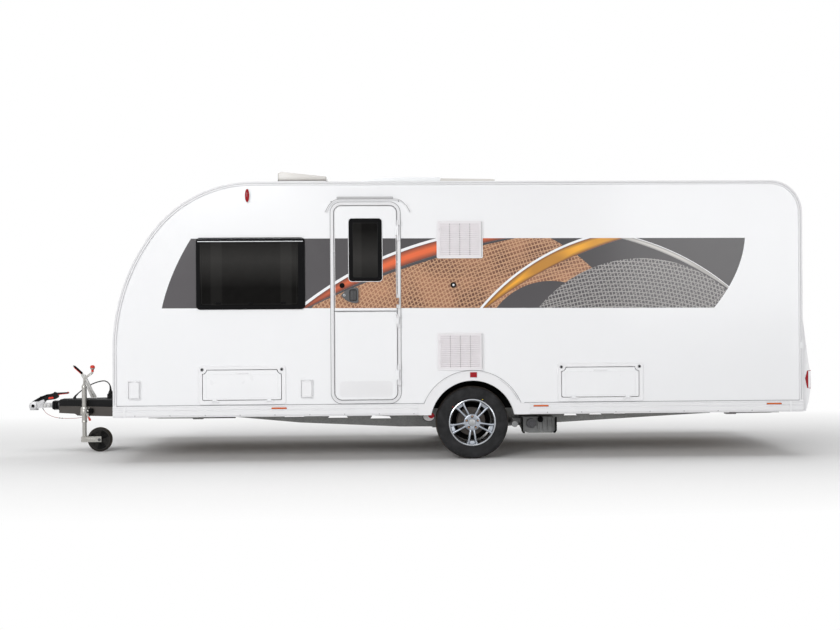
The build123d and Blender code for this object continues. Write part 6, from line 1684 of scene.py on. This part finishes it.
class CARAVAN_OT_jockey(bpy.types.Operator):
    """Jockey wheel: red crank knob and rod, clamp ring with its red handle, tube collars, fork pressings."""

    bl_idname = "caravan.jockey"
    bl_label = "Jockey wheel fittings"

    def execute(self, context):
        red, ring, block, tube = Shell(), Shell(), Shell(), Shell()
        crank = up(0.0, -3.024, JOCKEY_Y)
        red.knob(crank, ((0, 768), (10, 768.2), (12.2, 772), (12.2, 792), (14.5, 797), (20.5, 801.5),
                         (23, 809), (23.3, 818), (21, 826), (16, 832), (8, 835.2), (0, 835.6)), 36)
        bend = ((TUBE_X, 0.68), (TUBE_X, 0.7), (-3.098, 0.7085), (-3.036, 0.75), (-3.026, 0.757),
                (-3.024, 0.77))
        rod = np.array([(x, JOCKEY_Y, z) for x, z in bend])
        tube.sweep(rod, section_round(7.2, 12), up_hint=NEAR_Y)
        axis = up(0.0, TUBE_X, JOCKEY_Y)
        tube.knob(axis, ((24.2, 612), (25.8, 613.5), (25.8, 634), (24, 638), (18.5, 641), (18, 650),
                         (12.5, 652), (12.2, 664), (0, 664)), 36)
        tube.knob(axis, ((24.2, 282.5), (25.6, 284), (25.6, 298), (24.2, 300)), 36)
        ring.rings(axis, oval(37.2, 37.2, 40), ((0, 359), (-1.2, 360), (-1.2, 428), (0, 430.2), (12, 430.2),
            (12, 359)), closed=True)
        for z in (378, 412):
            ring.rings(axis, oval(38.8, 38.8, 40), ((0, z - 4), (-1, z - 3), (-1, z + 3), (0, z + 4),
                (6, z + 4), (6, z - 4)), closed=True)
        for z in (0.372, 0.418):
            spot = left(-0.214, -3.117, z)
            ring.knob(spot, ((0, -4), (8.5, -4), (8.5, 4), (7, 5.5), (0, 5.5)), 6)
        spindle = Frame3((-3.068, -0.19, CLAMP_Z), (0, 1, 0), (0, 0, 1))
        ring.knob(spindle, ((0, -4), (12, -4), (12, 6), (8, 10), (7.2, 18), (0, 18)), 20)
        block.pad(left(-0.176, -3.04, CLAMP_Z), 46, 46, 10, 24, edge=4, base=-16)
        block.knob(left(-0.2, -3.04, CLAMP_Z), ((0, -2), (15, -2), (14.5, 5), (9, 6.5), (8.5, 4), (0, 4)),
                   24)
        handle = (-3.062, 0.34, 0.8), (-3.054, 0.326, 1.0), (-3.046, 0.308, 1.12), (-3.043, 0.2995, 0.95)
        path = np.array([(x, -0.2008, z) for x, z, grow in handle])
        red.sweep(path, section_round(9.4, 14), np.array([(grow, grow) for x, z, grow in handle]),
                  up_hint=NEAR_Y)
        red.piece("jockey_red_grips", "lever_red", "black_plastic")
        tube.piece("jockey_tube_fittings", "zinc_polished", "galvanised")
        ring.piece("jockey_clamp_ring", "zinc_polished", "galvanised")
        block.piece("jockey_clamp_block", "box_black", "black_plastic")
        fork = Shell()
        for face in (left(-0.2195, -3.0315, 0.121), right(-0.1365, -3.0315, 0.121)):
            fork.bezel(face, 193, 50, 6, 3.5, 1.6, edge=0.8, n=3)
            fork.pad(face, 92, 16, 5, 1.4, edge=0.6)
        fork.piece("jockey_fork_pressings", "zinc_polished", "galvanised", "jockey_fork")
        return {"FINISHED"}


class CARAVAN_OT_underside(bpy.types.Operator):
    """Drawbar hooks, edges round the members' holes, pipes and mover hooks, and the arches' reflectors."""

    bl_idname = "caravan.underside"
    bl_label = "Underside fittings"

    def execute(self, context):
        hooks, lips, pipes, lens_white, lens_red, back = (Shell() for _ in range(6))
        for x, lean in ((-3.02, 0.018), (-2.968, -0.016)):
            run = np.array([(x, -0.12, 0.344), (x + lean * 0.3, -0.12, 0.331), (x + lean, -0.12, 0.319),
                            (x + lean * 1.7, -0.12, 0.3175), (x + lean * 2.0, -0.12, 0.325)])
            run[:, 1] = 0.048 + 0.3472 * (run[:, 0] + 3.38) - 0.004
            hooks.sweep(run, section_round(4.8, 10), up_hint=NEAR_Y)
        hooks.piece("drawbar_hooks", "box_black", "black_plastic")
        for side in (-1, 1):
            for x, w, z in ((-1.05, 0.19, 0.372), (-0.64, 0.19, 0.36), (-0.238, 0.2, 0.35),
                            (1.56, 0.13, 0.362), (1.8, 0.12, 0.368), (2.03, 0.11, 0.374),
                            (2.25, 0.1, 0.38)):
                top = w / 2 - 0.03
                base = np.array([(-w / 2, -0.026), (w / 2, -0.026), (top, 0.026), (-top, 0.026)])
                loop = polyline(np.concatenate([base, base[:1]]), 0.03)[:-1]
                path = np.stack([x + loop[:, 0], np.full(len(loop), side * 0.5605), z + loop[:, 1]], -1)
                lips.sweep(path, section_round(3, 8), up_hint=ACROSS, loop=True)
        lips.piece("member_hole_lips", "galvanised", "galvanised")
        for side in (-1, 1):
            pipes.sweep(polyline([(-2.2, side * 0.64, 0.433), (-0.1, side * 0.64, 0.433),
                                  (0.05, side * 0.66, 0.434)], 0.15), section_round(6, 10), up_hint=NEAR_Y)
            for x in np.arange(-2.1, 0.0, 0.42):
                pipes.pad(Frame3((x, side * 0.64, 0.44), (1, 0, 0), (0, -1, 0)), 22, 36, 4, 13, edge=2)
            mover = side_frame(side, 0.7645, 1.235, 0.27)
            for way in (side, -side):
                u = way * (0.158 - np.array([0, 0, 0, 0, 0.01, 0.024]))
                hook = mover.at(u, np.array([0.072, 0.04, 0.0, -0.05, -0.066, -0.07]), np.full(6, 0.004))
                pipes.sweep(hook, section_flat(16, 12, 4), up_hint=mover.n)
            pipes.knob(mover.moved(-0.012 * side, 0.052), ((0, -2), (27, -2), (27, 8), (23.5, 11.5),
                (12, 12.5), (10, 9), (0, 9)), 28)
        pipes.piece("underfloor_pipes", "box_black", "black_plastic")
        for side in (-1, 1):
            face = side_frame(side, 1.052, 0.196, 0.38)
            back.pad(face.moved(0.0, 0.03), 60, 90, 6, 4, edge=1.5, base=-4)
            back.rings(face, oval(56, 42, 28), ((0, 0), (0, 5), (2, 7), (6, 7)))
            lens_white.rings(face, oval(51, 37, 28), ((0, 3), (0, 8), (3, 11), (12, 13)))
            lens_red.rings(face.moved(0.022 * -side, 0.012, 0.004), oval(28, 26, 28),
                           ((0, 0), (0, 8), (3, 11), (10, 13)))
        back.piece("arch_reflector_bases", "box_black", "lamp_red")
        lens_white.piece("arch_reflector_white", "lamp_clear", "lamp_red")
        lens_red.piece("arch_reflector_red", "lamp_red", "lamp_red")
        return {"FINISHED"}


# ---------------------------------------------------------------- panel and registration
PIECES = (
    CARAVAN_OT_stage,
    CARAVAN_OT_finishes,
    CARAVAN_OT_cables,
    CARAVAN_OT_tyres,
    CARAVAN_OT_alloys,
    CARAVAN_OT_running_gear,
    CARAVAN_OT_hitch,
    CARAVAN_OT_jockey,
    CARAVAN_OT_underside,
    CARAVAN_OT_windows,
    CARAVAN_OT_door,
    CARAVAN_OT_vents,
    CARAVAN_OT_lockers,
    CARAVAN_OT_lamps,
    CARAVAN_OT_body_trim,
    CARAVAN_OT_roof,
    CARAVAN_OT_rear,
)


class CARAVAN_PT_sidebar(bpy.types.Panel):
    """Lists the caravan's settings and its pieces."""

    bl_idname = "CARAVAN_PT_sidebar"
    bl_label = "Caravan"
    bl_space_type = "VIEW_3D"
    bl_region_type = "UI"
    bl_category = "Caravan"

    def draw(self, context):
        for group in (context.scene.caravan_colours, context.scene.caravan_sizes):
            box = self.layout.box()
            for key in group.__annotations__:
                box.prop(group, key)
        for operator in PIECES:
            self.layout.operator(operator.bl_idname)


CLASSES = (CaravanColours, CaravanSizes, *PIECES, CARAVAN_PT_sidebar)


def register():
    for cls in CLASSES:
        bpy.utils.register_class(cls)
    bpy.types.Scene.caravan_colours = bpy.props.PointerProperty(type=CaravanColours)
    bpy.types.Scene.caravan_sizes = bpy.props.PointerProperty(type=CaravanSizes)


def unregister():
    del bpy.types.Scene.caravan_sizes
    del bpy.types.Scene.caravan_colours
    for cls in reversed(CLASSES):
        bpy.utils.unregister_class(cls)


def main():
    register()
    for operator in PIECES:
        group, name = operator.bl_idname.split(".")
        getattr(getattr(bpy.ops, group), name)()


if __name__ == "__main__":
    main()
